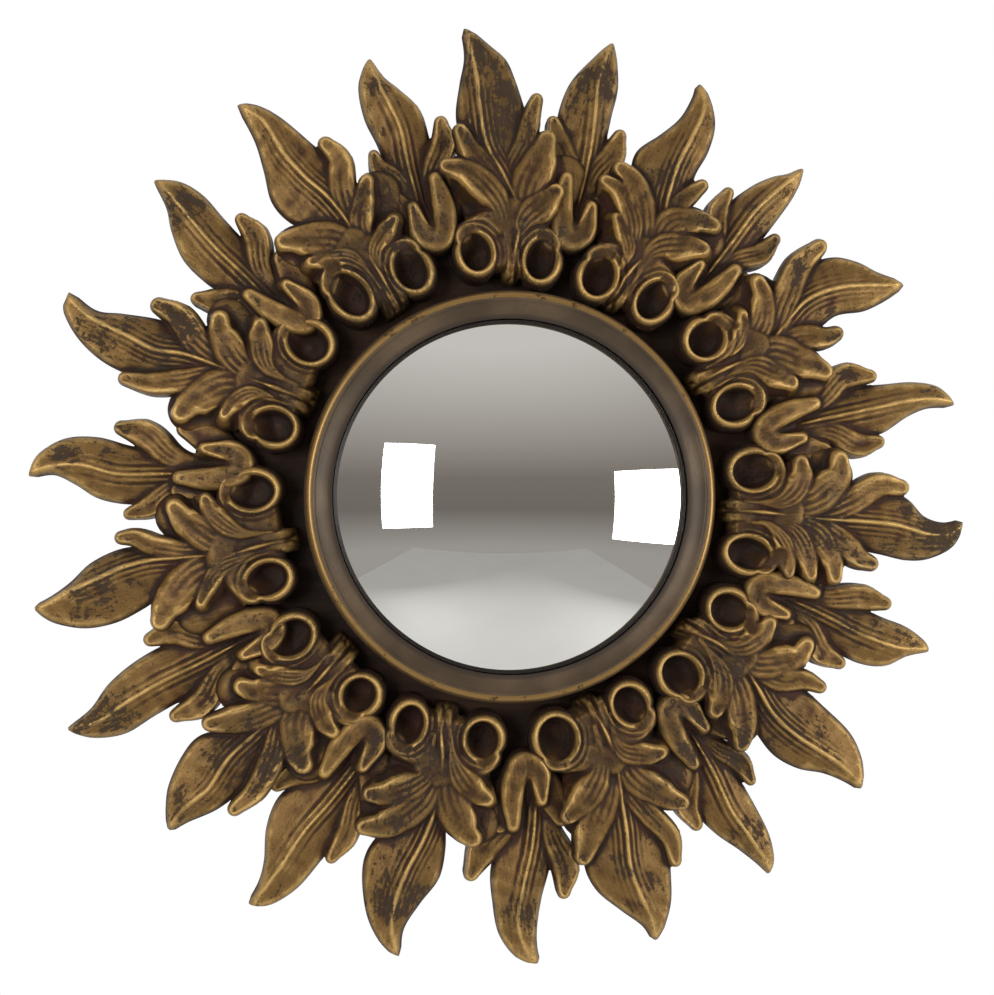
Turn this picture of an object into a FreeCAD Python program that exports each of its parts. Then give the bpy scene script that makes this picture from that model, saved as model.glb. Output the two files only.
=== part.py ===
"""Convex butlers mirror: a round bulged glass in a turned rim, set in a sunburst of carved flame leaves.

Frame: +Z up, +X right as seen from the front, the glass looks towards -Y.  The wall plane is y = 0 and the
origin is the centre of the back.  "Height" always means the distance in front of the wall, so y = -height.
A leaf is drawn with its own axis upright: a point is (across, out), out being the distance from the middle of
the mirror, and the leaf is then turned to its place on the clock, in degrees clockwise from the top.
"""
import FreeCAD
import Part
import Sketcher
import math
import os
from dataclasses import dataclass

DOCUMENT = FreeCAD.newDocument("convex_butlers_mirror")
SHEET = DOCUMENT.addObject("Spreadsheet::Sheet", "Sizes")

SIZES = [
    ("glass_diameter", 200.0),         # convex pane, edge to edge
    ("glass_thickness", 3.0),
    ("glass_rise", 27.0),              # how far the middle stands in front of the edge
    ("glass_seat_height", 30.0),       # wall plane to the back of the pane's edge
    ("glass_edge_clearance", 0.5),     # round the pane in its rebate
    ("sight_lap", 4.5),                # how far the lip covers the edge of the pane
    ("lip_clearance", 0.5),            # between the pane and the lip at the sight edge
    ("lip_thickness", 2.4),
    ("rim_wall", 10.0),                # rebate to the outside of the rim
    ("rim_side_rise", 22.0),           # seat of the rim to the top of its outside
    ("bead_width", 4.8),
    ("bead_radius", 2.6),
    ("bead_inset", 1.6),               # outside of the rim to the foot of the bead
    ("bead_rise", 28.6),               # seat of the rim to the foot of the bead
    ("shoulder_radius", 12.0),         # rounding between the outside and the bead
    ("cove_radius", 17.0),
    ("ring_thickness", 14.0),
    ("ring_width", 61.5),              # outside of the rim to the outside of the backing ring
    ("spacer_width", 4.0),
    ("spacer_clearance", 0.4),
    ("board_thickness", 3.0),
    ("board_lap", 3.0),                # how far the board bears on the back of the rim
    ("board_clearance", 0.5),
    ("ledge_width", 14.0),             # ledge beside the board, for the turn buttons
    ("button_reach", 15.0),            # pivot to the inner end
    ("button_tail", 4.5),              # pivot to the outer end
    ("button_width", 9.0),
    ("button_thickness", 1.6),
    ("button_gap", 0.1),               # between a button and the board
    ("button_pivot_inset", 6.0),       # edge of the board's recess to a pivot
    ("button_first_angle", 45.0),
    ("screw_radius", 1.5),
    ("screw_running_gap", 0.08),
    ("screw_pilot_gap", 0.02),
    ("screw_head_radius", 3.0),
    ("screw_head_thickness", 1.6),
    ("screw_head_rounding", 1.0),
    ("screw_grip", 9.0),               # depth in the wood
    ("pilot_spare", 0.6),              # how much deeper a pilot hole runs than its screw
    ("hanger_pivot_up", 127.0),        # middle of the mirror to the axis of the D-ring
    ("hanger_pivot_depth", 5.6),       # wall plane to the axis of the D-ring
    ("pocket_width", 34.0),
    ("pocket_depth", 9.0),
    ("pocket_above", 19.5),            # above the axis
    ("pocket_below", 19.5),            # below the axis
    ("strap_width", 13.0),
    ("strap_thickness", 1.2),
    ("strap_height", 15.0),
    ("knuckle_radius", 2.6),
    ("knuckle_length", 9.0),
    ("pin_running_gap", 0.08),
    ("wire_radius", 1.25),
    ("loop_half_width", 8.0),          # to the middle of the wire
    ("loop_drop", 9.0),                # straight part of the D-ring's sides
    ("loop_corner", 2.0),              # bend between the D-ring's bar and its sides
    ("hanger_screw_pitch", 6.6),
    ("hanger_screw_first", 4.6),       # axis to the first screw
    ("hanger_screw_radius", 1.2),
    ("hanger_screw_head_radius", 2.2),
    ("hanger_screw_grip", 3.6),
    ("leaf_seat_gap", 3.0),            # outside of the rim to the foot of a front leaf
    ("leaf_joint_gap", 0.1),           # glue line between a back leaf and the ring
    ("leaf_reach", 146.5),             # foot of a front leaf to the circle of the tips
    ("back_leaf_inset", 3.0),          # wall plane to the back of a back leaf
    ("back_edge_sink", 3.5),           # how far a back leaf's edge lies behind the ring's face
    ("back_foot_sink", 0.4),           # the same, for its foot, which goes under the front leaves
    ("back_crest_rise", 5.0),          # its midrib, in front of the ring's face
    ("back_petal_drop", 3.0),          # ridge of a back leaf's lobe to its edge
    ("curl_rise", 15.0),               # top of a curl, in front of the ring's face
    ("curl_half_width", 9.5),
    ("curl_let_in", 4.0),              # back of a back leaf to the root of its curl
    ("front_edge_rise", 4.0),          # edge of a front leaf's flame, in front of the ring's face
    ("front_foot_edge_rise", 11.0),
    ("front_crest_rise", 13.0),        # midrib of a front leaf's flame
    ("front_foot_crest_rise", 22.0),
    ("front_crest_ease", 4.0),         # how far the midrib falls away at the foot and near the tip
    ("petal_drop", 7.0),               # ridge of a petal to its edge
    ("volute_rise", 21.0),             # top of a volute, in front of the ring's face
    ("volute_wall", 4.6),
    ("volute_bevel", 3.0),
    ("arm_half_width", 7.0),           # arm from a leaf's stem to a volute
    ("arm_rise", 19.0),
]
for row, (alias, value) in enumerate(SIZES, start=1):
    SHEET.set(f"A{row}", alias.replace("_", " "))
    SHEET.set(f"B{row}", str(value))
    SHEET.setAlias(f"B{row}", alias)
DOCUMENT.recompute()

# Sizes worked out from the sheet, as expressions on its cells.
GLASS_RADIUS = "Sizes.glass_diameter / 2"
GLASS_BOW_RADIUS = f"(({GLASS_RADIUS})^2 + Sizes.glass_rise^2) / (2 * Sizes.glass_rise)"
REBATE_RADIUS = f"{GLASS_RADIUS} + Sizes.glass_edge_clearance"
SIGHT_RADIUS = f"{GLASS_RADIUS} - Sizes.sight_lap"
GLASS_APEX = "Sizes.glass_seat_height + Sizes.glass_rise"
SIGHT_SAG = f"{GLASS_BOW_RADIUS} - sqrt(({GLASS_BOW_RADIUS})^2 - ({SIGHT_RADIUS})^2)"
LIP_BACK = f"{GLASS_APEX} + Sizes.glass_thickness - ({SIGHT_SAG}) + Sizes.lip_clearance"
RIM_RADIUS = f"{REBATE_RADIUS} + Sizes.rim_wall"
RING_RADIUS = f"{RIM_RADIUS} + Sizes.ring_width"
BOARD_RADIUS = f"{REBATE_RADIUS} + Sizes.board_lap"
RECESS_RADIUS = f"{BOARD_RADIUS} + Sizes.board_clearance"
LEDGE_HEIGHT = "Sizes.ring_thickness - Sizes.board_thickness"
LEDGE_RADIUS = f"{RECESS_RADIUS} + Sizes.ledge_width"
BUTTON_PIVOT = f"{RECESS_RADIUS} + Sizes.button_pivot_inset"
BUTTON_FRONT = f"{LEDGE_HEIGHT} - Sizes.button_gap"
BUTTON_BACK = f"{BUTTON_FRONT} - Sizes.button_thickness"
BEAD_FOOT = "Sizes.ring_thickness + Sizes.bead_rise"
STRAP_BACK = "Sizes.pocket_depth - Sizes.strap_thickness"

TURN_BUTTONS = 4
SUB_PARTS = []
VERTICAL = FreeCAD.Vector(0, 0, 1)
ALONG_Y = FreeCAD.Vector(0, 1, 0)
ALONG_X = FreeCAD.Vector(1, 0, 0)
Z_TO_MINUS_Y = FreeCAD.Rotation(ALONG_X, 90)       # a primitive's own Z then points out of the front


def size(expression):
    """Value of an expression on the sheet, in millimetres or degrees."""
    return float(SHEET.evalExpression(expression))


# ---------------------------------------------------------------------------------------------------------
# Turned pieces: a half section in the XY plane, x = radius and y = -height, turned about the Y axis
# ---------------------------------------------------------------------------------------------------------

@dataclass
class Bow:
    """An arc between two corners of an outline, with its centre on the left or right of the way along."""
    radius: str
    centre_left: bool


def new_body(label):
    """Empty body with its label."""
    body = DOCUMENT.addObject("PartDesign::Body", label)
    body.Label = label
    SUB_PARTS.append(body)
    return body


def origin_plane(body, role):
    """One of a body's own origin planes."""
    return next(plane for plane in body.Origin.OriginFeatures if plane.Role == role)


def bow_curve(start, end, bow):
    """Arc geometry from start to end, and whether its own direction runs backwards."""
    radius = size(bow.radius)
    chord = end - start
    half = chord.Length / 2
    left = FreeCAD.Vector(-chord.y, chord.x, 0).normalize()
    side = 1 if bow.centre_left else -1
    middle = (start + end) / 2
    centre = middle + left * side * math.sqrt(max(radius**2 - half**2, 0.0))
    first, last = (start, end) if bow.centre_left else (end, start)
    angles = [math.atan2(point.y - centre.y, point.x - centre.x) for point in (first, last)]
    circle = Part.Circle(centre, VERTICAL, radius)
    return Part.ArcOfCircle(circle, angles[0], angles[1]), not bow.centre_left


def tie(sketch, constraint, expression):
    """Add a constraint and bind its value to the sheet."""
    index = sketch.addConstraint(constraint)
    sketch.setExpression(f"Constraints[{index}]", expression)


def half_section(body, name, corners, bows=None):
    """Closed outline on the XY plane through (radius, height) corners, each tied to its expressions."""
    bows = bows or {}
    sketch = body.newObject("Sketcher::SketchObject", name)
    sketch.AttachmentSupport = (origin_plane(body, "XY_Plane"), [""])
    sketch.MapMode = "FlatFace"
    points = [FreeCAD.Vector(size(radius), -size(height), 0) for radius, height in corners]
    starts = []
    ends = []
    for index, start in enumerate(points):
        end = points[(index + 1) % len(points)]
        backwards = False
        if index in bows:
            curve, backwards = bow_curve(start, end, bows[index])
        else:
            curve = Part.LineSegment(start, end)
        geometry = sketch.addGeometry(curve, False)
        starts.append((geometry, 2 if backwards else 1))
        ends.append((geometry, 1 if backwards else 2))
    for index, start in enumerate(starts):
        sketch.addConstraint(Sketcher.Constraint("Coincident", *ends[index - 1], *start))
    for (geometry, vertex), (radius, height), point in zip(starts, corners, points):
        if radius == "0":
            sketch.addConstraint(Sketcher.Constraint("PointOnObject", geometry, vertex, -2))
        else:
            tie(sketch, Sketcher.Constraint("DistanceX", -1, 1, geometry, vertex, point.x), radius)
        tie(sketch, Sketcher.Constraint("DistanceY", geometry, vertex, -1, 1, -point.y), height)
    for index, bow in bows.items():
        tie(sketch, Sketcher.Constraint("Radius", starts[index][0], size(bow.radius)), bow.radius)
    return sketch


def turned(label, corners, bows=None):
    """Body made by turning a half section all the way round the Y axis."""
    body = new_body(label)
    sketch = half_section(body, f"{label}_section", corners, bows)
    turning = body.newObject("PartDesign::Revolution", f"{label}_turning")
    turning.Profile = sketch
    turning.ReferenceAxis = (sketch, ["V_Axis"])
    turning.Angle = 360
    sketch.Visibility = False
    return body


def bound(type_name, label, sizes, placement=None):
    """Part primitive or boolean with its properties bound to the sheet."""
    item = DOCUMENT.addObject(type_name, label)
    for name, expression in sizes.items():
        item.setExpression(name, expression)
    if placement:
        item.Placement = placement
    return item


def bow_sphere(label, front_height):
    """Ball whose front reaches a height, with the bow of the pane."""
    ball = bound("Part::Sphere", label, {"Radius": GLASS_BOW_RADIUS})
    ball.setExpression("Placement.Base.y", f"{GLASS_BOW_RADIUS} - ({front_height})")
    return ball


def make_glass():
    """Convex pane: what two equal bows, one behind the other, leave of a round block."""
    block = bound("Part::Cylinder", "pane_block", {
        "Radius": GLASS_RADIUS,
        "Height": "Sizes.glass_rise + Sizes.glass_thickness",
    }, FreeCAD.Placement(FreeCAD.Vector(0, 0, 0), Z_TO_MINUS_Y))
    block.setExpression("Placement.Base.y", "-Sizes.glass_seat_height")
    bulge = DOCUMENT.addObject("Part::Common", "pane_bulge")
    bulge.Base = block
    bulge.Tool = bow_sphere("pane_front", f"{GLASS_APEX} + Sizes.glass_thickness")
    pane = DOCUMENT.addObject("Part::Cut", "mirror_glass")
    pane.Base = bulge
    pane.Tool = bow_sphere("pane_back", GLASS_APEX)
    SUB_PARTS.append(pane)


def make_rim():
    """Rim moulding: rebate for the pane, round shoulder, bead, and a cove down to the sight edge."""
    seat = "Sizes.ring_thickness"
    bead_outer = f"{RIM_RADIUS} - Sizes.bead_inset"
    return turned("rim_moulding", [
        (REBATE_RADIUS, seat),
        (RIM_RADIUS, seat),
        (RIM_RADIUS, f"{seat} + Sizes.rim_side_rise"),
        (bead_outer, BEAD_FOOT),
        (f"{bead_outer} - Sizes.bead_width", BEAD_FOOT),
        (SIGHT_RADIUS, f"{LIP_BACK} + Sizes.lip_thickness"),
        (SIGHT_RADIUS, LIP_BACK),
        (REBATE_RADIUS, LIP_BACK),
    ], {
        2: Bow("Sizes.shoulder_radius", False),
        3: Bow("Sizes.bead_radius", False),
        4: Bow("Sizes.cove_radius", True),
    })


def make_spacer():
    """Ring behind the edge of the pane, standing on the board."""
    outer = f"{REBATE_RADIUS} - Sizes.spacer_clearance"
    inner = f"{outer} - Sizes.spacer_width"
    return turned("glass_spacer_ring", [
        (inner, "Sizes.ring_thickness"),
        (outer, "Sizes.ring_thickness"),
        (outer, "Sizes.glass_seat_height"),
        (inner, "Sizes.glass_seat_height"),
    ])


def make_board():
    """Backing board: a thin disc that bears on the back of the rim."""
    return turned("backing_board", [
        ("0", LEDGE_HEIGHT),
        (BOARD_RADIUS, LEDGE_HEIGHT),
        (BOARD_RADIUS, "Sizes.ring_thickness"),
        ("0", "Sizes.ring_thickness"),
    ])


def cut_circle(body, name, across, up, radius, depth):
    """Round pocket from the wall side, bound to the sheet."""
    sketch = body.newObject("Sketcher::SketchObject", f"{name}_outline")
    sketch.AttachmentSupport = (origin_plane(body, "XZ_Plane"), [""])
    sketch.MapMode = "FlatFace"
    centre = FreeCAD.Vector(size(across), size(up), 0)
    circle = sketch.addGeometry(Part.Circle(centre, VERTICAL, size(radius)), False)
    tie(sketch, Sketcher.Constraint("DistanceX", -1, 1, circle, 3, centre.x), across)
    tie(sketch, Sketcher.Constraint("DistanceY", -1, 1, circle, 3, centre.y), up)
    tie(sketch, Sketcher.Constraint("Radius", circle, size(radius)), radius)
    return cut_from_wall(body, name, sketch, depth)


def cut_from_wall(body, name, sketch, depth):
    """Pocket that runs from the wall plane towards the front."""
    pocket = body.newObject("PartDesign::Pocket", name)
    pocket.Profile = sketch
    pocket.setExpression("Length", depth)
    pocket.Reversed = True
    sketch.Visibility = False
    return pocket


def polar_copies(body, name, feature, count):
    """The same cut repeated round the Y axis."""
    pattern = body.newObject("PartDesign::PolarPattern", name)
    pattern.Originals = [feature]
    pattern.Axis = (origin_axis(body, "Y_Axis"), [""])
    pattern.Angle = 360
    pattern.Occurrences = count
    body.Tip = pattern
    return pattern


def origin_axis(body, role):
    """One of a body's own origin axes."""
    return next(axis for axis in body.Origin.OriginFeatures if axis.Role == role)


def first_button_pivot():
    """Expressions for the first turn button's pivot, across and up."""
    turn = "Sizes.button_first_angle * 1deg"
    return f"({BUTTON_PIVOT}) * sin({turn})", f"({BUTTON_PIVOT}) * cos({turn})"


def rectangle_sketch(body, name, corners):
    """Rectangle on the XZ plane from (left, right, bottom, top) expressions."""
    left, right, bottom, top = corners
    sketch = body.newObject("Sketcher::SketchObject", name)
    sketch.AttachmentSupport = (origin_plane(body, "XZ_Plane"), [""])
    sketch.MapMode = "FlatFace"
    xs = (-size(left), size(right))
    zs = (size(bottom), size(top))
    points = [FreeCAD.Vector(xs[0], zs[0], 0), FreeCAD.Vector(xs[1], zs[0], 0),
              FreeCAD.Vector(xs[1], zs[1], 0), FreeCAD.Vector(xs[0], zs[1], 0)]
    for index, point in enumerate(points):
        sketch.addGeometry(Part.LineSegment(point, points[(index + 1) % 4]), False)
    for index in range(4):
        sketch.addConstraint(Sketcher.Constraint("Coincident", index, 2, (index + 1) % 4, 1))
    for index in (0, 2):
        sketch.addConstraint(Sketcher.Constraint("Horizontal", index))
        sketch.addConstraint(Sketcher.Constraint("Vertical", index + 1))
    tie(sketch, Sketcher.Constraint("DistanceX", 0, 1, -1, 1, size(left)), left)
    tie(sketch, Sketcher.Constraint("DistanceX", -1, 1, 1, 1, size(right)), right)
    tie(sketch, Sketcher.Constraint("DistanceY", -1, 1, 0, 1, size(bottom)), bottom)
    tie(sketch, Sketcher.Constraint("DistanceY", -1, 1, 2, 1, size(top)), top)
    return sketch


def make_backing_ring():
    """Wooden ring with the board's ledge, the hanger's pocket and the pilot holes."""
    body = turned("backing_ring", [
        (RECESS_RADIUS, LEDGE_HEIGHT),
        (LEDGE_RADIUS, LEDGE_HEIGHT),
        (LEDGE_RADIUS, "0"),
        (RING_RADIUS, "0"),
        (RING_RADIUS, "Sizes.ring_thickness"),
        (RECESS_RADIUS, "Sizes.ring_thickness"),
    ])
    half_width = "Sizes.pocket_width / 2"
    pocket = rectangle_sketch(body, "hanger_pocket_outline", (
        half_width, half_width,
        "Sizes.hanger_pivot_up - Sizes.pocket_below", "Sizes.hanger_pivot_up + Sizes.pocket_above"))
    cut_from_wall(body, "hanger_pocket", pocket, "Sizes.pocket_depth")
    across, up = first_button_pivot()
    pilot = cut_circle(body, "button_pilot", across, up,
                       "Sizes.screw_radius + Sizes.screw_pilot_gap",
                       "Sizes.ring_thickness + Sizes.pilot_spare")
    polar_copies(body, "button_pilots", pilot, TURN_BUTTONS)
    for index, rise in enumerate(hanger_screw_rises(), start=1):
        cut_circle(body, f"hanger_pilot_{index}", "0", f"Sizes.hanger_pivot_up + {rise}",
                   "Sizes.hanger_screw_radius + Sizes.screw_pilot_gap",
                   "Sizes.pocket_depth + Sizes.hanger_screw_grip + Sizes.pilot_spare")
    return body


def hanger_screw_rises():
    """Expressions for the two hanger screws' distance above the D-ring's axis."""
    return "Sizes.hanger_screw_first", "Sizes.hanger_screw_first + Sizes.hanger_screw_pitch"


def drill_rim(rim):
    """Pilot holes for the turn button screws in the back of the rim."""
    across, up = first_button_pivot()
    pilot = cut_circle(rim, "rim_pilot", across, up,
                       "Sizes.screw_radius + Sizes.screw_pilot_gap",
                       f"{LEDGE_HEIGHT} + Sizes.screw_grip + Sizes.pilot_spare")
    polar_copies(rim, "rim_pilots", pilot, TURN_BUTTONS)


# ---------------------------------------------------------------------------------------------------------
# Hardware: solids made with Part, then placed
# ---------------------------------------------------------------------------------------------------------

def add_piece(label, shape, placement=None):
    """Feature that holds a finished shape, with its label and its place."""
    feature = DOCUMENT.addObject("Part::Feature", label)
    feature.Label = label
    feature.Shape = shape
    feature.Placement = placement or FreeCAD.Placement()
    SUB_PARTS.append(feature)
    return feature


def disc(radius, from_height, to_height, centre=FreeCAD.Vector(0, 0, 0)):
    """Cylinder that stands out from the wall between two heights."""
    start = FreeCAD.Vector(centre.x, -from_height, centre.z)
    return Part.makeCylinder(radius, to_height - from_height, start, FreeCAD.Vector(0, -1, 0))


def button_placement(index):
    """Place of one turn button, its own Z pointing away from the middle of the mirror."""
    angle = size("Sizes.button_first_angle") + index * 360 / TURN_BUTTONS
    return FreeCAD.Placement(FreeCAD.Vector(0, 0, 0), FreeCAD.Rotation(ALONG_Y, angle))


def turn_button_shape():
    """Flat brass button with round ends and a hole, pointing inwards over the board."""
    pivot = FreeCAD.Vector(0, 0, size(BUTTON_PIVOT))
    back = size(BUTTON_BACK)
    front = size(BUTTON_FRONT)
    half_width = size("Sizes.button_width") / 2
    tail = FreeCAD.Vector(0, 0, pivot.z + size("Sizes.button_tail") - half_width)
    nose = FreeCAD.Vector(0, 0, pivot.z - size("Sizes.button_reach") + half_width)
    bar = Part.makeBox(2 * half_width, front - back, tail.z - nose.z,
                       FreeCAD.Vector(-half_width, -front, nose.z))
    plate = bar.fuse([disc(half_width, back, front, tail), disc(half_width, back, front, nose)])
    bore = disc(size("Sizes.screw_radius + Sizes.screw_running_gap"), back - 1, front + 1, pivot)
    return plate.removeSplitter().cut(bore)


def make_turn_buttons():
    """Four buttons, each a piece of its own that turns on its screw."""
    shape = turn_button_shape()
    for index in range(TURN_BUTTONS):
        add_piece(f"turn_button_{index + 1}", shape, button_placement(index))


def dome_screw(centre, under_head, head_radius, head_thickness, shank_radius, grip):
    """Round-headed wood screw, its head towards the wall."""
    head = disc(head_radius, under_head - head_thickness, under_head, centre)
    rounded = head.makeFillet(size("Sizes.screw_head_rounding"), rear_edges(head))
    return rounded.fuse(disc(shank_radius, under_head, under_head + grip, centre)).removeSplitter()


def rear_edges(head):
    """The round edges nearest the wall."""
    rear = max(edge.BoundBox.YMax for edge in head.Edges)
    return [edge for edge in head.Edges if edge.BoundBox.YMin > rear - 0.01 and len(edge.Vertexes) == 1]


def make_button_screws():
    """The four screws that the turn buttons turn on, as one group of separate solids."""
    pivot = FreeCAD.Vector(0, 0, size(BUTTON_PIVOT))
    under_head = size(BUTTON_BACK) - size("Sizes.button_gap")
    grip = size(f"{LEDGE_HEIGHT} + Sizes.screw_grip") - under_head
    screw = dome_screw(pivot, under_head, size("Sizes.screw_head_radius"),
                       size("Sizes.screw_head_thickness"), size("Sizes.screw_radius"), grip)
    screws = []
    for index in range(TURN_BUTTONS):
        placed = screw.copy()
        placed.Placement = button_placement(index)
        screws.append(placed)
    add_piece("turn_button_screws", Part.makeCompound(screws))


def make_hanger_strap():
    """Brass strap: a flat plate with two screw holes, rolled round the D-ring's bar at its lower end."""
    half_width = size("Sizes.strap_width") / 2
    thickness = size("Sizes.strap_thickness")
    front = size("Sizes.pocket_depth")
    pivot_up = size("Sizes.hanger_pivot_up")
    pivot_depth = size("Sizes.hanger_pivot_depth")
    plate = Part.makeBox(2 * half_width, thickness, size("Sizes.strap_height"),
                         FreeCAD.Vector(-half_width, -front, pivot_up))
    knuckle_length = size("Sizes.knuckle_length")
    knuckle_radius = size("Sizes.knuckle_radius")
    knuckle_start = FreeCAD.Vector(-knuckle_length / 2, -pivot_depth, pivot_up)
    knuckle = Part.makeCylinder(knuckle_radius, knuckle_length, knuckle_start, ALONG_X)
    web = Part.makeBox(knuckle_length, front - pivot_depth, knuckle_radius,
                       FreeCAD.Vector(-knuckle_length / 2, -front, pivot_up))
    bar = Part.makeCylinder(size("Sizes.wire_radius + Sizes.pin_running_gap"), knuckle_length + 2,
                            knuckle_start - ALONG_X, ALONG_X)
    strap = plate.fuse([knuckle, web]).cut(bar)
    for rise in hanger_screw_rises():
        centre = FreeCAD.Vector(0, 0, pivot_up + size(rise))
        strap = strap.cut(countersunk(centre, size("Sizes.screw_running_gap")))
    add_piece("hanger_strap", strap.removeSplitter())


def countersunk(centre, gap):
    """Countersunk screw, or with a gap the space that it needs in the strap."""
    back = size(STRAP_BACK)
    head_radius = size("Sizes.hanger_screw_head_radius")
    shank_radius = size("Sizes.hanger_screw_radius") + gap
    thickness = size("Sizes.strap_thickness")
    start = FreeCAD.Vector(centre.x, -back, centre.z)
    cone = Part.makeCone(head_radius + gap, shank_radius, thickness, start, FreeCAD.Vector(0, -1, 0))
    shank = disc(shank_radius, back, back + thickness + size("Sizes.hanger_screw_grip"), centre)
    return cone.fuse(shank)


def make_hanger_screws():
    """The two countersunk screws of the strap, as one group."""
    pivot_up = size("Sizes.hanger_pivot_up")
    screws = [countersunk(FreeCAD.Vector(0, 0, pivot_up + size(rise)), 0.0)
              for rise in hanger_screw_rises()]
    add_piece("hanger_screws", Part.makeCompound(screws))


def make_hanger_ring():
    """D-ring of round wire: straight bar in the knuckle, two sides and a half-round end, hanging down."""
    half = size("Sizes.loop_half_width")
    drop = size("Sizes.loop_drop")
    top = size("Sizes.hanger_pivot_up")
    depth = -size("Sizes.hanger_pivot_depth")
    corner = size("Sizes.loop_corner")
    turn = corner * (1 - math.cos(math.pi / 4))

    def at(across, up):
        return FreeCAD.Vector(across, depth, up)

    edges = [
        Part.LineSegment(at(-half + corner, top), at(half - corner, top)),
        Part.Arc(at(half - corner, top), at(half - turn, top - turn), at(half, top - corner)),
        Part.LineSegment(at(half, top - corner), at(half, top - drop)),
        Part.Arc(at(half, top - drop), at(0, top - drop - half), at(-half, top - drop)),
        Part.LineSegment(at(-half, top - drop), at(-half, top - corner)),
        Part.Arc(at(-half, top - corner), at(-half + turn, top - turn), at(-half + corner, top)),
    ]
    path = Part.Wire([edge.toShape() for edge in edges])
    section = Part.Wire([Part.makeCircle(size("Sizes.wire_radius"), at(-half + corner, top), ALONG_X)])
    add_piece("hanger_ring", path.makePipeShell([section], True, False))


# ---------------------------------------------------------------------------------------------------------
# Carved leaves
# ---------------------------------------------------------------------------------------------------------

# The leaves were drawn for a ring whose leaves stand at this radius and reach this far.
DRAWN_SEAT = 113.5
DRAWN_REACH = 146.5


@dataclass
class Petal:
    """One lobe or petal: a tapering finger along a bent line, its ridge in front of the ring's face."""
    foot: tuple
    middle: tuple
    tip: tuple
    half_width: float
    rise: float


@dataclass
class Volute:
    """Rolled eye: centre, half width and half height of its hollow, and its lean in degrees."""
    centre: tuple
    half_across: float
    half_out: float
    lean: float = 0.0


@dataclass
class Leaf:
    """A leaf: its place on the clock, the two edges and the midrib of its flame, and what branches off."""
    clock: float
    left: list
    rib: list
    right: list
    petals: list
    volutes: list
    curl_across: float = 0.0


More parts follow.
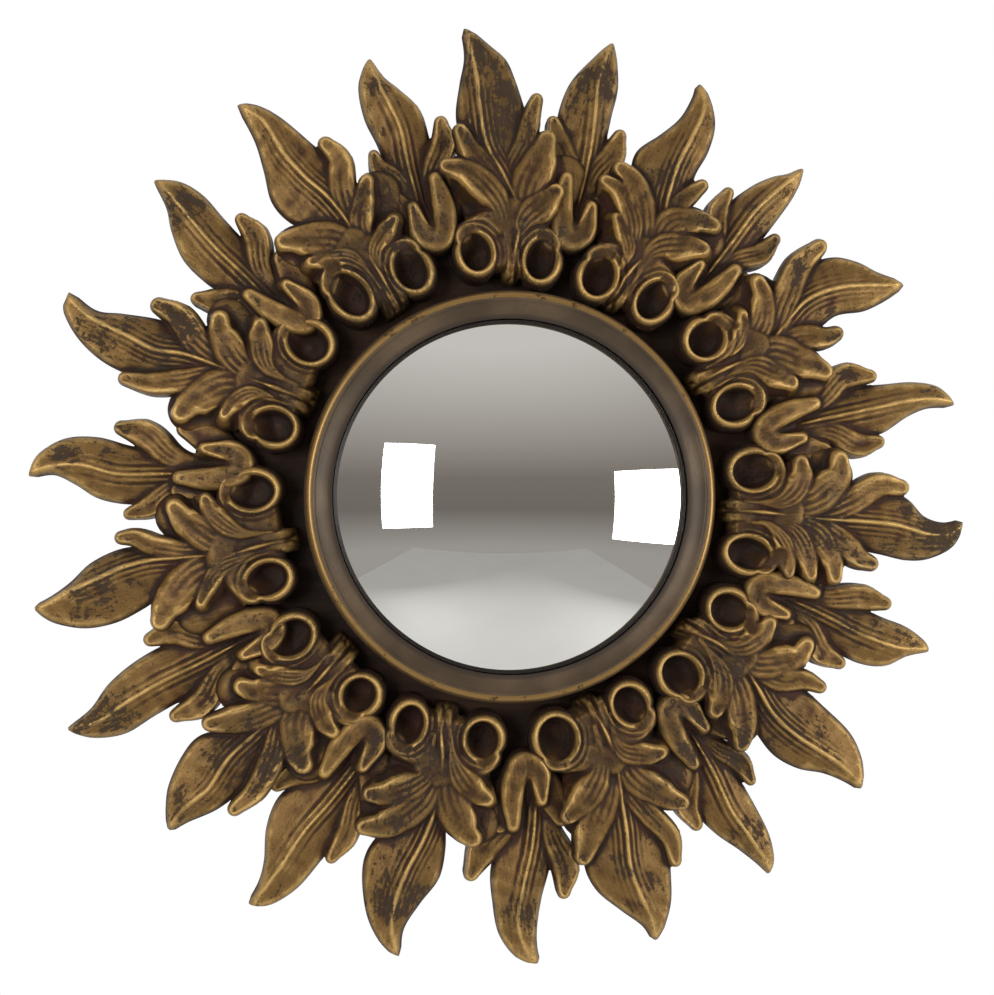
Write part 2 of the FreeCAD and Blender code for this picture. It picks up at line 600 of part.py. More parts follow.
FRONT_LEAVES = [
    Leaf(0,
         [(-5, 114), (-7, 140), (-10, 160), (-17, 179), (-26, 196), (-29, 211), (-27, 228), (-24.5, 243),
          (-26.5, 259)],
         [(3, 135), (5, 154), (-3.5, 175), (-12.5, 192), (-16, 210), (-18, 230), (-21, 246)],
         [(6, 114), (9, 140), (13, 160), (15, 180), (14, 199), (9, 216), (4, 231), (-1, 242), (-10, 250),
          (-21, 259)],
         [Petal((-6, 158), (-21, 175), (-37, 180), 9, 19),
          Petal((-10, 176), (-21, 190), (-28, 202), 8.5, 14),
          Petal((8, 194), (12, 209), (16, 221), 7, 10), Petal((8, 165), (15, 182), (22, 199), 11, 16),
          Petal((6, 146), (16, 158), (27, 168), 9.5, 20)],
         [Volute((-18.5, 132), 9, 11, -12), Volute((16.5, 128.5), 9, 11.5, 8)]),
    Leaf(27,
         [(-5, 114), (-4, 136), (-6, 155), (-12, 172), (-20, 189), (-23.5, 204), (-16, 219), (-10.5, 232),
          (-9.5, 245), (-11, 254)],
         [(1.5, 134), (6, 153), (7, 171), (3, 187), (0, 205), (0, 225), (-1, 242)],
         [(8, 114), (9, 136), (12, 155), (15, 172), (16.5, 190), (12, 207), (12.5, 222), (10, 236),
          (4, 246),
          (-6, 255.5)],
         [Petal((-5, 170), (-18, 185), (-30, 189), 9, 17), Petal((-6, 160), (-20, 175), (-34, 178), 7, 19),
          Petal((9, 184), (14, 196), (18, 204), 7, 13), Petal((9, 172), (22, 182), (35, 185), 9, 17),
          Petal((8, 154), (21, 165), (35, 170), 9, 20), Petal((-3, 146), (-10, 156), (-18, 163), 5.5, 21)],
         [Volute((-11.5, 128.5), 9.5, 11.5, -6), Volute((21, 131), 9, 12, 8)]),
    Leaf(58,
         [(-6, 114), (-6, 138), (-8, 158), (-14, 178), (-20, 196), (-22, 211), (-17.5, 227), (-8, 237.5),
          (3, 244.5), (14, 253.5)],
         [(3, 136), (5, 151), (4, 166), (-1, 182), (-5, 197), (-3, 213), (4, 230), (12, 244)],
         [(9, 114), (10, 138), (12, 158), (14, 178), (13, 196), (11.5, 211), (17.5, 226), (19, 240),
          (18.5, 253)],
         [Petal((-11, 188), (-23, 206), (-27, 224), 9, 12), Petal((10, 184), (18, 197), (20, 206), 8.5, 12),
          Petal((8, 164), (23, 178), (36, 187), 10.5, 17), Petal((8, 148), (19, 159), (31, 166), 8.5, 20),
          Petal((-4, 145), (-10, 156), (-18, 162), 5.5, 21), Petal((-6, 166), (-18, 177), (-30, 180), 8.5, 17)],
         [Volute((-16, 136.5), 10, 11, -8), Volute((22.5, 131.5), 10, 12, 8)]),
    Leaf(93,
         [(-6, 114), (-6, 138), (-8, 158), (-12, 178), (-16, 196), (-17, 212), (-10.5, 226), (-2, 235),
          (1, 246), (-1.5, 257)],
         [(1, 136), (2, 155), (3, 175), (3, 195), (4, 216), (8, 236), (7, 249)],
         [(8, 114), (10, 138), (13, 158), (17, 178), (19, 196), (21, 211), (23.5, 226), (22, 239),
          (15, 252),
          (4, 258.5)],
         [Petal((-7, 190), (-17, 206), (-17, 222), 9, 12), Petal((13, 184), (23, 196), (27, 206), 8.5, 13),
          Petal((-6, 166), (-20, 181), (-34, 182), 10.5, 17), Petal((-5, 148), (-17, 159), (-30, 159), 8.5, 20),
          Petal((10, 168), (24, 180), (37, 183), 8.5, 16), Petal((9, 154), (24, 165), (36, 168), 7.5, 19),
          Petal((8, 142), (22, 153), (35, 155), 6, 21)],
         [Volute((-21, 132.5), 10.5, 12.5, -8), Volute((24, 132), 9.5, 12.5, 8)]),
    Leaf(126,
         [(-5, 114), (-8, 138), (-9, 158), (-10, 178), (-11, 196), (-9.5, 212), (-6.5, 232), (1, 246),
          (12, 256)],
         [(-2, 137), (-1, 154), (4, 170), (11, 188), (13, 205), (12, 224), (12, 242)],
         [(12, 114), (9, 138), (13, 158), (18, 175), (25, 190), (29, 205), (27, 220), (21, 233), (18, 245),
          (17, 255.5)],
         [Petal((-5, 178), (-14, 191), (-17, 203), 7, 14),
          Petal((-5, 162), (-20, 179), (-33, 181), 9.5, 17),
          Petal((-5, 146), (-18, 155), (-30, 156), 8.5, 20), Petal((12, 163), (26, 178), (37, 184), 9.5, 17),
          Petal((8, 146), (20, 157), (31, 160), 8.5, 20)],
         [Volute((-20, 133), 10, 11, -6), Volute((23.5, 132), 10.5, 12, 8)]),
    Leaf(158,
         [(-4, 114), (-6, 138), (-6, 158), (-8, 178), (-10, 196), (-10, 212), (-5, 229), (1, 243),
          (12.5, 257.5)],
         [(0, 136), (1, 156), (5, 175), (9, 193), (14, 210), (15, 226), (14, 242)],
         [(13, 114), (9, 138), (12, 158), (20, 176), (30, 190), (37, 204), (36, 219), (28, 234), (20, 247),
          (18, 257)],
         [Petal((-5, 188), (-12, 205), (-10, 221), 7, 12),
          Petal((-5, 166), (-17, 183), (-27, 192), 9.5, 16),
          Petal((-4, 148), (-15, 157), (-26, 160), 7.5, 20), Petal((13, 170), (27, 186), (38, 199), 10.5, 15),
          Petal((9, 153), (23, 167), (38, 173), 9.5, 19)],
         [Volute((-18, 129), 9.5, 11, -8), Volute((25.5, 130.5), 11, 12.5, 10)]),
    Leaf(191,
         [(4, 114), (2, 138), (1, 158), (0, 178), (-3, 196), (-2.5, 212), (5, 227), (11, 242), (10, 256)],
         [(13, 129), (9.5, 144), (7.5, 160), (8, 176), (11, 192), (16, 208), (19, 225), (18, 241)],
         [(19, 114), (17, 138), (17, 158), (23, 177), (32, 190), (39, 204), (39, 218), (33, 237), (24, 250),
          (13.5, 258)],
         [Petal((1, 166), (-10, 181), (-18, 187), 10.5, 17),
          Petal((1, 148), (-10, 159), (-21, 163), 8.5, 20),
          Petal((15, 168), (31, 185), (46, 190), 9.5, 17), Petal((15, 154), (31, 168), (46, 171), 9, 19)],
         [Volute((-10, 131), 9.5, 10.5, -10), Volute((30, 130), 8.5, 11, 0)]),
    Leaf(226,
         [(-6, 114), (-5, 138), (-6, 158), (-9, 178), (-13, 196), (-14, 214), (-12, 231), (-6, 247),
          (-3.5, 257)],
         [(1.5, 138), (1, 155), (3, 171), (4, 188), (4, 206), (0, 225), (1, 243)],
         [(14, 114), (9, 138), (11, 158), (13, 178), (16, 195), (23.5, 211), (22, 225), (16, 240), (9, 249),
          (1, 256.5)],
         [Petal((-11, 188), (-18, 207), (-18, 225), 7.5, 12),
          Petal((-4, 162), (-17, 176), (-29, 181), 10.5, 17),
          Petal((-5, 147), (-15, 155), (-26, 156), 7, 20), Petal((9, 178), (18, 192), (26, 202), 9, 15),
          Petal((8, 158), (19, 170), (29, 175), 9.5, 18), Petal((8, 145), (18, 156), (28, 161), 6, 21)],
         [Volute((-20, 132), 9.5, 10, -4), Volute((27, 136.5), 10, 12, 6)]),
    Leaf(258,
         [(-6, 114), (-4, 138), (-5, 158), (-8, 176), (-13, 192), (-19, 208), (-22.5, 222), (-22, 238),
          (-16, 253), (-8, 262)],
         [(2, 136), (1, 151), (3, 166), (5, 181), (7, 196), (6, 211), (3, 225), (-1, 243)],
         [(10, 114), (8, 138), (10, 158), (13, 178), (15, 196), (16, 212), (12, 228), (4, 241), (-1, 252),
          (-4, 262)],
         [Petal((-5, 174), (-18, 191), (-29, 199), 11, 15), Petal((-4, 157), (-13, 168), (-22, 174), 6, 19),
          Petal((11, 188), (20, 201), (22, 210), 7, 13), Petal((8, 157), (22, 172), (34, 178), 9.5, 18),
          Petal((11, 145), (23, 157), (34, 160), 7, 21)],
         [Volute((-16, 136), 9.5, 11.5, -6), Volute((31, 134.5), 10, 12.5, 6)]),
    Leaf(293,
         [(-6, 114), (-4, 138), (-6, 158), (-10, 178), (-15, 196), (-19.5, 212), (-19, 230), (-13, 247),
          (-3, 260), (6, 263.5)],
         [(4, 138), (3, 158), (3, 176), (2, 191), (-2, 206), (-1, 223), (0, 241), (3, 254)],
         [(16, 114), (10, 138), (10, 158), (12, 178), (14, 195), (14.5, 211), (9.5, 231), (5.5, 245),
          (9.5, 261)],
         [Petal((-11, 186), (-19, 201), (-23, 217), 7.5, 12), Petal((9, 186), (19, 201), (21, 217), 9, 12),
          Petal((-4, 163), (-18, 176), (-31, 181), 11, 17), Petal((-3, 147), (-12, 156), (-21, 158), 6, 21),
          Petal((8, 160), (18, 176), (29, 182), 9.5, 18), Petal((12, 146), (24, 156), (34, 160), 7.5, 21)],
         [Volute((-15, 131.5), 9.5, 11.5, -8), Volute((33, 132), 10.5, 12, 6)]),
    Leaf(325,
         [(-2, 114), (2, 138), (2, 158), (-3, 176), (-12, 191), (-14, 206), (-8, 222), (-2.5, 239),
          (0, 259.5)],
         [(11, 138), (11, 158), (13, 175), (12, 190), (8, 206), (6, 223), (7.5, 243)],
         [(18, 114), (16, 138), (18, 158), (22, 176), (26, 191), (26, 206), (22.5, 221), (17, 241),
          (11, 253),
          (3.5, 260.5)],
         [Petal((20, 188), (29, 203), (28, 217), 8.5, 12), Petal((16, 164), (27, 178), (36, 186), 7.5, 16),
          Petal((14, 147), (25, 155), (35, 159), 6, 20), Petal((3, 166), (-13, 178), (-24, 184), 10.5, 17),
          Petal((4, 152), (-7, 161), (-17, 165), 6, 20)],
         [Volute((-8.5, 138), 9.5, 13.5, -4), Volute((26, 131), 9.5, 12, 8)]),
]

# A back leaf's own curl stands at its foot, between the volutes of its two neighbours.
BACK_LEAVES = [
    Leaf(13.5,
         [(-11, 147.5), (-13, 166.5), (-17, 187), (-21, 205), (-22, 221), (-19, 236.5), (-9, 254),
          (-3, 262.5)],
         [(0, 166.5), (0, 190), (-2, 214), (-5, 238.5)],
         [(11, 147.5), (10, 166.5), (9, 187), (8, 205), (7.5, 222), (7.5, 237.5), (4, 251.5),
          (-0.5, 262.5)],
         [Petal((-8, 182), (-18, 198), (-24, 209), 8, -1),
          Petal((5, 184), (12, 199), (14, 211), 8, -1)], [],
         curl_across=0),
    Leaf(42.5,
         [(-12, 147.5), (-14, 166.5), (-17, 187), (-20, 205), (-17, 223), (-12, 235.5), (-6.5, 243.5),
          (-3, 251.5)],
         [(-2, 166.5), (-4, 190), (-6, 212), (-4, 234.5)],
         [(10, 147.5), (10, 166.5), (10, 187), (8.5, 205), (7, 221), (5.5, 233.5), (3, 243.5), (-0.5, 251)],
         [Petal((-10, 182), (-21, 198), (-24, 210), 7, -1),
          Petal((4, 182), (12, 196), (13, 209), 7, -1)], [],
         curl_across=-2),
    Leaf(75.5,
         [(-10, 147.5), (-11, 166.5), (-12, 187), (-12, 205), (-9, 223), (-6, 240.5), (0, 254.5),
          (10, 261.5)],
         [(1, 166.5), (2, 190), (3, 212), (4, 234.5), (7, 249.5)],
         [(12, 147.5), (13, 166.5), (15, 187), (18, 203), (18, 217), (12.5, 233.5), (11, 246.5),
          (14, 260.5)],
         [Petal((-8, 182), (-18, 199), (-15, 216), 8, -1),
          Petal((9, 184), (20, 198), (22, 211), 8, -1)], [],
         curl_across=2),
    Leaf(109.5,
         [(-10, 147.5), (-11, 166.5), (-10, 187), (-9, 207), (-7.5, 224), (-7, 238.5), (-3.5, 250.5),
          (0.5, 256)],
         [(1, 166.5), (3, 190), (6, 212), (6, 234.5), (3, 247.5)],
         [(12, 147.5), (14, 166.5), (17, 187), (20.5, 207), (21.5, 222), (18, 234.5), (9, 244.5),
          (3, 254.5)],
         [Petal((-6, 186), (-13, 205), (-15, 221), 8, -1),
          Petal((10, 179.5), (22, 194), (25, 207), 8, -1)], [],
         curl_across=3),
    Leaf(142,
         [(-10, 147.5), (-10, 166.5), (-9, 187), (-6, 207), (-3.5, 224), (0, 240.5), (6, 252.5),
          (12.5, 257.5)],
         [(1, 166.5), (4, 190), (9, 212), (10, 232.5), (11, 247.5)],
         [(12, 147.5), (15, 166.5), (20, 187), (25, 206), (23.5, 221), (19, 235.5), (16, 247.5),
          (14.5, 256.5)],
         [Petal((-5, 179.5), (-11, 195), (-10, 208), 6.5, -1),
          Petal((13, 179.5), (26, 195), (29, 208), 8, -1)], [],
         curl_across=0),
    Leaf(174.5,
         [(-11, 147.5), (-11, 166.5), (-9, 187), (-4, 207), (2, 223), (6, 238.5), (7, 249.5), (6, 258.5)],
         [(1, 166.5), (5, 190), (12, 212), (17, 232.5), (14, 248.5)],
         [(12, 147.5), (16, 166.5), (23, 187), (29, 206), (29.5, 223), (28, 239.5), (21, 252.5),
          (11, 259.5)],
         [Petal((-6, 186), (-12, 204), (-10, 220), 8, -1),
          Petal((15, 173.5), (31, 190), (40, 204), 9, -1)], [],
         curl_across=5),
    Leaf(208.5,
         [(-10, 147.5), (-10, 166.5), (-9, 187), (-8, 207), (-5, 226), (-1, 243.5), (7, 257.5),
          (16, 263.5)],
         [(2, 166.5), (6, 190), (11, 212), (13, 233.5), (15, 249.5)],
         [(13, 147.5), (17, 166.5), (25, 187), (32, 205), (30, 222), (22.5, 238.5), (19.5, 250.5),
          (19.5, 262.5)],
         [Petal((-5, 184), (-10, 202), (-9, 219), 7, -1),
          Petal((17, 175.5), (30, 188), (36, 198), 8, -1)], [],
         curl_across=7),
    Leaf(242,
         [(-13, 147.5), (-13, 166.5), (-14, 187), (-14.5, 207), (-15, 226), (-16, 244.5), (-10, 260.5),
          (-0.5, 271)],
         [(-1, 166.5), (-1, 190), (0, 212), (-1, 234.5), (-3, 252.5)],
         [(11, 147.5), (12, 166.5), (15, 187), (17, 206), (16, 224), (12, 240.5), (5, 254.5), (2, 269.5)],
         [Petal((-9, 179.5), (-20, 198), (-20, 215), 8, -1),
          Petal((8, 179.5), (20, 194), (23, 208), 8, -1)], [],
         curl_across=-1),
    Leaf(275.5,
         [(-16, 147.5), (-18, 166.5), (-21, 187), (-24, 205), (-22.5, 222), (-16, 235.5), (-12, 247.5),
          (-15, 260)],
         [(-3, 166.5), (-6, 190), (-8, 212), (-5, 232.5), (-8, 249.5)],
         [(9, 147.5), (8, 166.5), (7, 187), (8, 207), (11, 226), (8.5, 243.5), (-1, 256.5), (-11, 261)],
         [Petal((-12, 179.5), (-24, 194), (-29, 204), 7, -1),
          Petal((3, 182), (14, 198), (17, 213), 8.5, -1)], [],
         curl_across=3),
    Leaf(309,
         [(-10, 147.5), (-11, 166.5), (-12, 187), (-13, 205), (-11, 221), (-3, 235.5), (5, 245.5),
          (11.5, 259.5)],
         [(1, 166.5), (3, 190), (5, 212), (9, 232.5), (12, 247.5)],
         [(12, 147.5), (14, 166.5), (17, 187), (19, 205), (21, 219), (23.5, 234.5), (21.5, 248.5),
          (14, 260)],
         [Petal((-8, 177.5), (-18, 192), (-23, 200), 8, -1),
          Petal((11, 182), (23, 196), (26, 209), 8, -1)], [],
         curl_across=6),
    Leaf(342.5,
         [(-10, 147.5), (-10, 166.5), (-10, 187), (-10, 207), (-12.5, 224), (-11, 240.5), (-6, 250),
          (-1, 255.5)],
         [(1, 166.5), (2, 190), (4, 212), (1, 234.5)],
         [(12, 147.5), (14, 166.5), (17, 187), (19, 205), (18.5, 221), (11, 234.5), (5, 243.5), (1, 255)],
         [Petal((-5, 182), (-13, 194), (-14, 202), 6.5, -1),
          Petal((12, 179.5), (24, 196), (27, 209), 8, -1)], [],
         curl_across=4),
]


def seat_radius():
    """Radius at which the front leaves start."""
    return size(f"{RIM_RADIUS} + Sizes.leaf_seat_gap")


def spread(point):
    """A drawn (across, out) point, stretched to the ring's real seat and reach."""
    across, out = point
    along = (out - DRAWN_SEAT) * size("Sizes.leaf_reach") / DRAWN_REACH
    return across * seat_radius() / DRAWN_SEAT, seat_radius() + along


def raised(point, height):
    """Point of a leaf at a height in front of the wall."""
    across, out = point
    return FreeCAD.Vector(across, -height, out)


def spline(points):
    """Smooth edge through points."""
    curve = Part.BSplineCurve()
    curve.interpolate(points)
    return curve.toShape()


def ramp(values, share):
    """Height at a share of the way along evenly spaced values."""
    place = share * (len(values) - 1)
    index = min(int(place), len(values) - 2)
    return values[index] + (values[index + 1] - values[index]) * (place - index)


def blade(left, rib, right, back, edge_heights, crest_heights):
    """Solid with a flat back, square sides and two slopes that meet in a ridge."""
    left = [spread(point) for point in left]
    right = [spread(point) for point in right]
    ends = [tuple((a + b) / 2 for a, b in zip(left[i], right[i])) for i in (0, -1)]
    rib = [ends[0]] + [spread(point) for point in rib] + [ends[1]]
    reach = ends[1][1] - ends[0][1]

    def lifted(points, heights):
        return [raised(point, ramp(heights, min(max((point[1] - ends[0][1]) / reach, 0.0), 1.0)))
                for point in points]

    left_top = lifted(left, edge_heights)
    right_top = lifted(right, edge_heights)
    crest = lifted(rib, crest_heights)
    left_foot = [raised(point, back) for point in left]
    right_foot = [raised(point, back) for point in right]
    curves = [spline(points) for points in (left_foot, left_top, crest, right_top, right_foot)]
    faces = [Part.makeRuledSurface(curves[i], curves[i + 1]) for i in range(4)]
    end_lines = [Part.makeLine(left_foot[i], right_foot[i]) for i in (0, -1)]
    outline = Part.Wire(Part.__sortEdges__([curves[0], end_lines[1], curves[4], end_lines[0]]))
    faces.append(Part.Face(outline))
    for i in (0, -1):
        corners = [left_foot[i], left_top[i], crest[i], right_top[i], right_foot[i], left_foot[i]]
        faces.append(Part.Face(Part.makePolygon(corners)))
    shell = Part.makeShell(faces)
    shell.sewShape()
    solid = Part.makeSolid(shell)
    if solid.Volume < 0:
        solid.reverse()
    return solid


PETAL_SHARES = (0.0, 0.3, 0.6, 0.85, 1.0)
PETAL_WIDTHS = (0.75, 0.95, 1.0, 0.8, 0.4)


def petal_solid(petal, back, drop):
    """Blade whose edges follow a bent middle line at a changing half width."""
    middle = [FreeCAD.Vector(*point, 0) for point in (petal.foot, petal.middle, petal.tip)]
    line = Part.BSplineCurve()
    line.interpolate(middle)
    left = []
    right = []
    rib = []
    for share, width in zip(PETAL_SHARES, PETAL_WIDTHS):
        parameter = line.FirstParameter + share * (line.LastParameter - line.FirstParameter)
        point = line.value(parameter)
        along = line.tangent(parameter)[0]
        side = FreeCAD.Vector(-along.y, along.x, 0) * petal.half_width * width
        left.append((point.x + side.x, point.y + side.y))
        right.append((point.x - side.x, point.y - side.y))
        rib.append((point.x, point.y))
    crest = size("Sizes.ring_thickness") + petal.rise
    edge = crest - drop
    return blade(left, rib[1:-1], right, back, [edge, edge], [edge + drop / 2, crest, crest])


def ellipse_wire(volute, height, grow):
    """Ellipse round a volute's centre at a height, its half sizes grown by an amount."""
    centre = raised(spread(volute.centre), height)
    lean = FreeCAD.Rotation(ALONG_Y, volute.lean)
    wide = lean.multVec(FreeCAD.Vector(volute.half_across + grow, 0, 0))
    tall = lean.multVec(FreeCAD.Vector(0, 0, volute.half_out + grow))
    return Part.Wire([Part.Ellipse(centre + tall, centre + wide, centre).toShape()])


def volute_solids(volute, back):
    """Rolled rim of a volute, and the hollow to cut from it and from what lies round it."""
    top = size("Sizes.ring_thickness + Sizes.volute_rise")
    wall = size("Sizes.volute_wall")
    bevel = size("Sizes.volute_bevel")
    roll = Part.makeLoft([ellipse_wire(volute, back, wall), ellipse_wire(volute, top - bevel, wall),
                          ellipse_wire(volute, top, wall / 2)], True, True)
    hollow = Part.makeLoft([ellipse_wire(volute, back - 1, -1.0), ellipse_wire(volute, top - bevel, 0.0),
                            ellipse_wire(volute, top + 1, wall / 2)], True, True)
    return roll, hollow


def volute_arm(volute):
    """Curved arm from the leaf's stem, farther out, into the middle of a volute."""
    across, out = volute.centre
    root = (across * 0.15, out + 16)
    bend = (across * 0.55, out + 10)
    return Petal(root, bend, volute.centre, size("Sizes.arm_half_width"), size("Sizes.arm_rise"))


# The low body that joins a front leaf's petals, drawn either side of a stem at 2 across.
WEBS = (Petal((-3, 138), (-14, 157), (-25, 177), 12, 7), Petal((6, 138), (17, 157), (28, 177), 12, 7))


def beside_stem(web, leaf):
    """A web moved to a leaf's own stem."""
    shift = leaf.rib[1][0] - 2
    foot, middle, tip = [(across + shift, out) for across, out in (web.foot, web.middle, web.tip)]
    return Petal(foot, middle, tip, web.half_width, web.rise)


def scribed(shape, place, neighbours):
    """A leaf's shape, in its own frame, without the space that its neighbours fill."""
    tools = []
    for neighbour in neighbours:
        tool = neighbour.Shape.copy()
        tool.Placement = place.inverse() * neighbour.Placement
        tools.append(tool)
    return shape.cut(tools) if tools else shape


def make_front_leaf(number, leaf, neighbours):
    """Large leaf of the front tier, flat-backed on the backing ring and scribed to the leaves made before."""
    back = size("Sizes.ring_thickness")
    foot_edge = back + size("Sizes.front_foot_edge_rise")
    edge = back + size("Sizes.front_edge_rise")
    foot_crest = back + size("Sizes.front_foot_crest_rise")
    crest = back + size("Sizes.front_crest_rise")
    ease = size("Sizes.front_crest_ease")
    edges = [foot_edge, foot_edge, (foot_edge + edge) / 2, edge, edge, edge]
    crests = [foot_crest - ease, foot_crest, foot_crest - ease, crest, crest, crest - ease, edge]
    solid = blade(leaf.left, leaf.rib, leaf.right, back, edges, crests)
    rolls = []
    hollows = []
    for volute in leaf.volutes:
        roll, hollow = volute_solids(volute, back)
        rolls.append(roll)
        hollows.append(hollow)
    drop = size("Sizes.petal_drop")
    branches = leaf.petals + [volute_arm(volute) for volute in leaf.volutes]
    branches += [beside_stem(web, leaf) for web in WEBS]
    petals = [petal_solid(petal, back, drop) for petal in branches]
    place = FreeCAD.Placement(FreeCAD.Vector(0, 0, 0), FreeCAD.Rotation(ALONG_Y, leaf.clock))
    carved = solid.fuse(petals + rolls).cut(Part.makeCompound(hollows))
    carved = scribed(carved, place, neighbours)
    return add_piece(f"front_leaf_{number:02d}", without_chips(carved), place)


CURL_REACH = (129, 147, 163)      # foot, middle and tip of every curl, as drawn
LARGEST_CHIP = 0.03               # share of a leaf that a cut may leave loose


def make_back_leaf(number, leaf, neighbours):
    """Smaller leaf of the back tier: it butts on the ring's edge, its curl laps over the ring's face, and
    it is scribed to the two front leaves that it stands between.
    """
    back = size("Sizes.back_leaf_inset")
    ring_face = size("Sizes.ring_thickness")
    edge = ring_face - size("Sizes.back_edge_sink")
    foot = ring_face - size("Sizes.back_foot_sink")
    crest = ring_face + size("Sizes.back_crest_rise")
    solid = blade(leaf.left, leaf.rib, leaf.right, back, [edge, edge, edge, edge],
                  [foot, foot, (foot + crest) / 2, crest, (foot + crest) / 2, edge])
    petals = [petal_solid(petal, back, size("Sizes.back_petal_drop")) for petal in leaf.petals]
    line = [(leaf.curl_across, out) for out in CURL_REACH]
    curl_shape = Petal(*line, size("Sizes.curl_half_width"), size("Sizes.curl_rise"))
    curl = petal_solid(curl_shape, back + size("Sizes.curl_let_in"), size("Sizes.petal_drop"))
    gap = size("Sizes.leaf_joint_gap")
    ring_space = disc(size(RING_RADIUS) + gap, -1, ring_face)
    place = FreeCAD.Placement(FreeCAD.Vector(0, 0, 0), FreeCAD.Rotation(ALONG_Y, leaf.clock))
    carved = scribed(solid.fuse(petals + [curl]).cut(ring_space), place, neighbours)
    return add_piece(f"back_leaf_{number:02d}", without_chips(carved), place)


def without_chips(shape):
    """The carved body, with its curl where that stands free on the ring, but no loose chip of a cut."""
    body = max(solid.Volume for solid in shape.Solids)
    kept = [solid for solid in shape.Solids if solid.Volume > body * LARGEST_CHIP]
    return kept[0] if len(kept) == 1 else Part.makeCompound(kept)


def check_document():
    """Stop if any feature failed or any sub-part is empty or broken."""
    for item in DOCUMENT.Objects:
        if {"Invalid", "Error"} & set(item.State):
            raise RuntimeError(f"{item.Label} failed: {item.State}")
    for item in SUB_PARTS:
        if item.Shape.isNull() or not item.Shape.isValid():
            raise RuntimeError(f"{item.Label} has a broken shape")


def export():
    """Write each sub-part under its own name."""
    os.makedirs("parts", exist_ok=True)
    for item in SUB_PARTS:
        item.Shape.exportStep(os.path.join("parts", f"{item.Label}.step"))


make_glass()
drill_rim(make_rim())
make_spacer()
make_board()
make_backing_ring()
make_turn_buttons()
make_button_screws()
make_hanger_strap()
make_hanger_screws()
make_hanger_ring()
front_tier = []
for number, leaf in enumerate(FRONT_LEAVES, start=1):
    made_before = front_tier[-1:] + (front_tier[:1] if number == len(FRONT_LEAVES) else [])
    front_tier.append(make_front_leaf(number, leaf, made_before))
for number, leaf in enumerate(BACK_LEAVES, start=1):
    make_back_leaf(number, leaf, (front_tier[number - 1], front_tier[number % len(front_tier)]))
DOCUMENT.recompute()
check_document()
export()
for part in SUB_PARTS:
    print(part.Label, len(part.Shape.Solids), round(part.Shape.Volume, 1))
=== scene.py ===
"""Convex butlers mirror: its looks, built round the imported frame.

Each leaf is carved as a height field in its own upright frame, in millimetres: across (clockwise), out (the
distance from the middle of the mirror) and height in front of the wall.  It is then turned to its place on
the clock, in degrees clockwise from the top, and into metres.  The rim and the pane are turned from half
sections.  The pieces behind the leaves keep the frame's own solids and get their finishes here.
"""
import logging
import math
from collections.abc import Sequence
from dataclasses import dataclass, field, replace
from enum import Enum
from typing import Any

import bpy
import numpy as np
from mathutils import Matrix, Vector
from mathutils.geometry import tessellate_polygon


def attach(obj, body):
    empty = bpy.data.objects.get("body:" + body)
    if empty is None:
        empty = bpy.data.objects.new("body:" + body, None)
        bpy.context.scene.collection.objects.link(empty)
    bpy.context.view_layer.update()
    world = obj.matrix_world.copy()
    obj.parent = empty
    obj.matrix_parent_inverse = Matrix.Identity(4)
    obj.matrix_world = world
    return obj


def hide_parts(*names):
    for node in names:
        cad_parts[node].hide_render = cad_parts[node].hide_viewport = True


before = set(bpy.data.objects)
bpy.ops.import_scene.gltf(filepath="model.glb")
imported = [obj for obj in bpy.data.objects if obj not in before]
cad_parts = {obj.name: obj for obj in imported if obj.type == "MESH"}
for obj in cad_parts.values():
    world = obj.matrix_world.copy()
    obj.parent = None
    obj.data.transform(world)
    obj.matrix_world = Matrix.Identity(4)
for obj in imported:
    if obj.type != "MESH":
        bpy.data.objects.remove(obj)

LOG = logging.getLogger("mirror")
MM = 0.001
ROOT_BODY = "frame"
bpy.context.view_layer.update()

Point = tuple[float, float]
Place = tuple[float, float, float]
Colour = tuple[float, float, float, float]
Stop = tuple[float, Colour]
WHITE: Colour = (1, 1, 1, 1)


# ------------------------------------------------------------------------------
# Shader maths
# ------------------------------------------------------------------------------

class Signal:
    """A number on its way through a material; arithmetic on it adds Math nodes."""

    def __init__(self, recipe: "Recipe", socket: bpy.types.NodeSocket) -> None:
        """Wrap a socket.

        Args:
            recipe: The recipe that the socket belongs to.
            socket: The output that carries the number.
        """
        self.recipe = recipe
        self.socket = socket

    def joined(self, operation: str, first: Any, second: Any) -> "Signal":
        """Math node on two values.

        Args:
            operation: The Math node's operation.
            first: Number or signal.
            second: Number or signal.

        Returns:
            The node's result.
        """
        math_node = self.recipe.node("ShaderNodeMath", {"operation": operation}, {0: first, 1: second})
        return Signal(self.recipe, math_node.outputs[0])

    def __add__(self, other: Any) -> "Signal":
        """Sum."""
        return self.joined("ADD", self, other)

    __radd__ = __add__

    def __sub__(self, other: Any) -> "Signal":
        """Difference."""
        return self.joined("SUBTRACT", self, other)

    def __rsub__(self, other: Any) -> "Signal":
        """Difference the other way round."""
        return self.joined("SUBTRACT", other, self)

    def __mul__(self, other: Any) -> "Signal":
        """Product."""
        return self.joined("MULTIPLY", self, other)

    __rmul__ = __mul__

    def step(self, low: float, high: float) -> "Signal":
        """Soft step.

        Args:
            low: Value at which the result is 0.
            high: Value from which the result is 1.

        Returns:
            A number from 0 to 1.
        """
        node = self.recipe.node("ShaderNodeMapRange", {"interpolation_type": "SMOOTHSTEP"},
                                {"Value": self, "From Min": low, "From Max": high})
        return Signal(self.recipe, node.outputs[0])


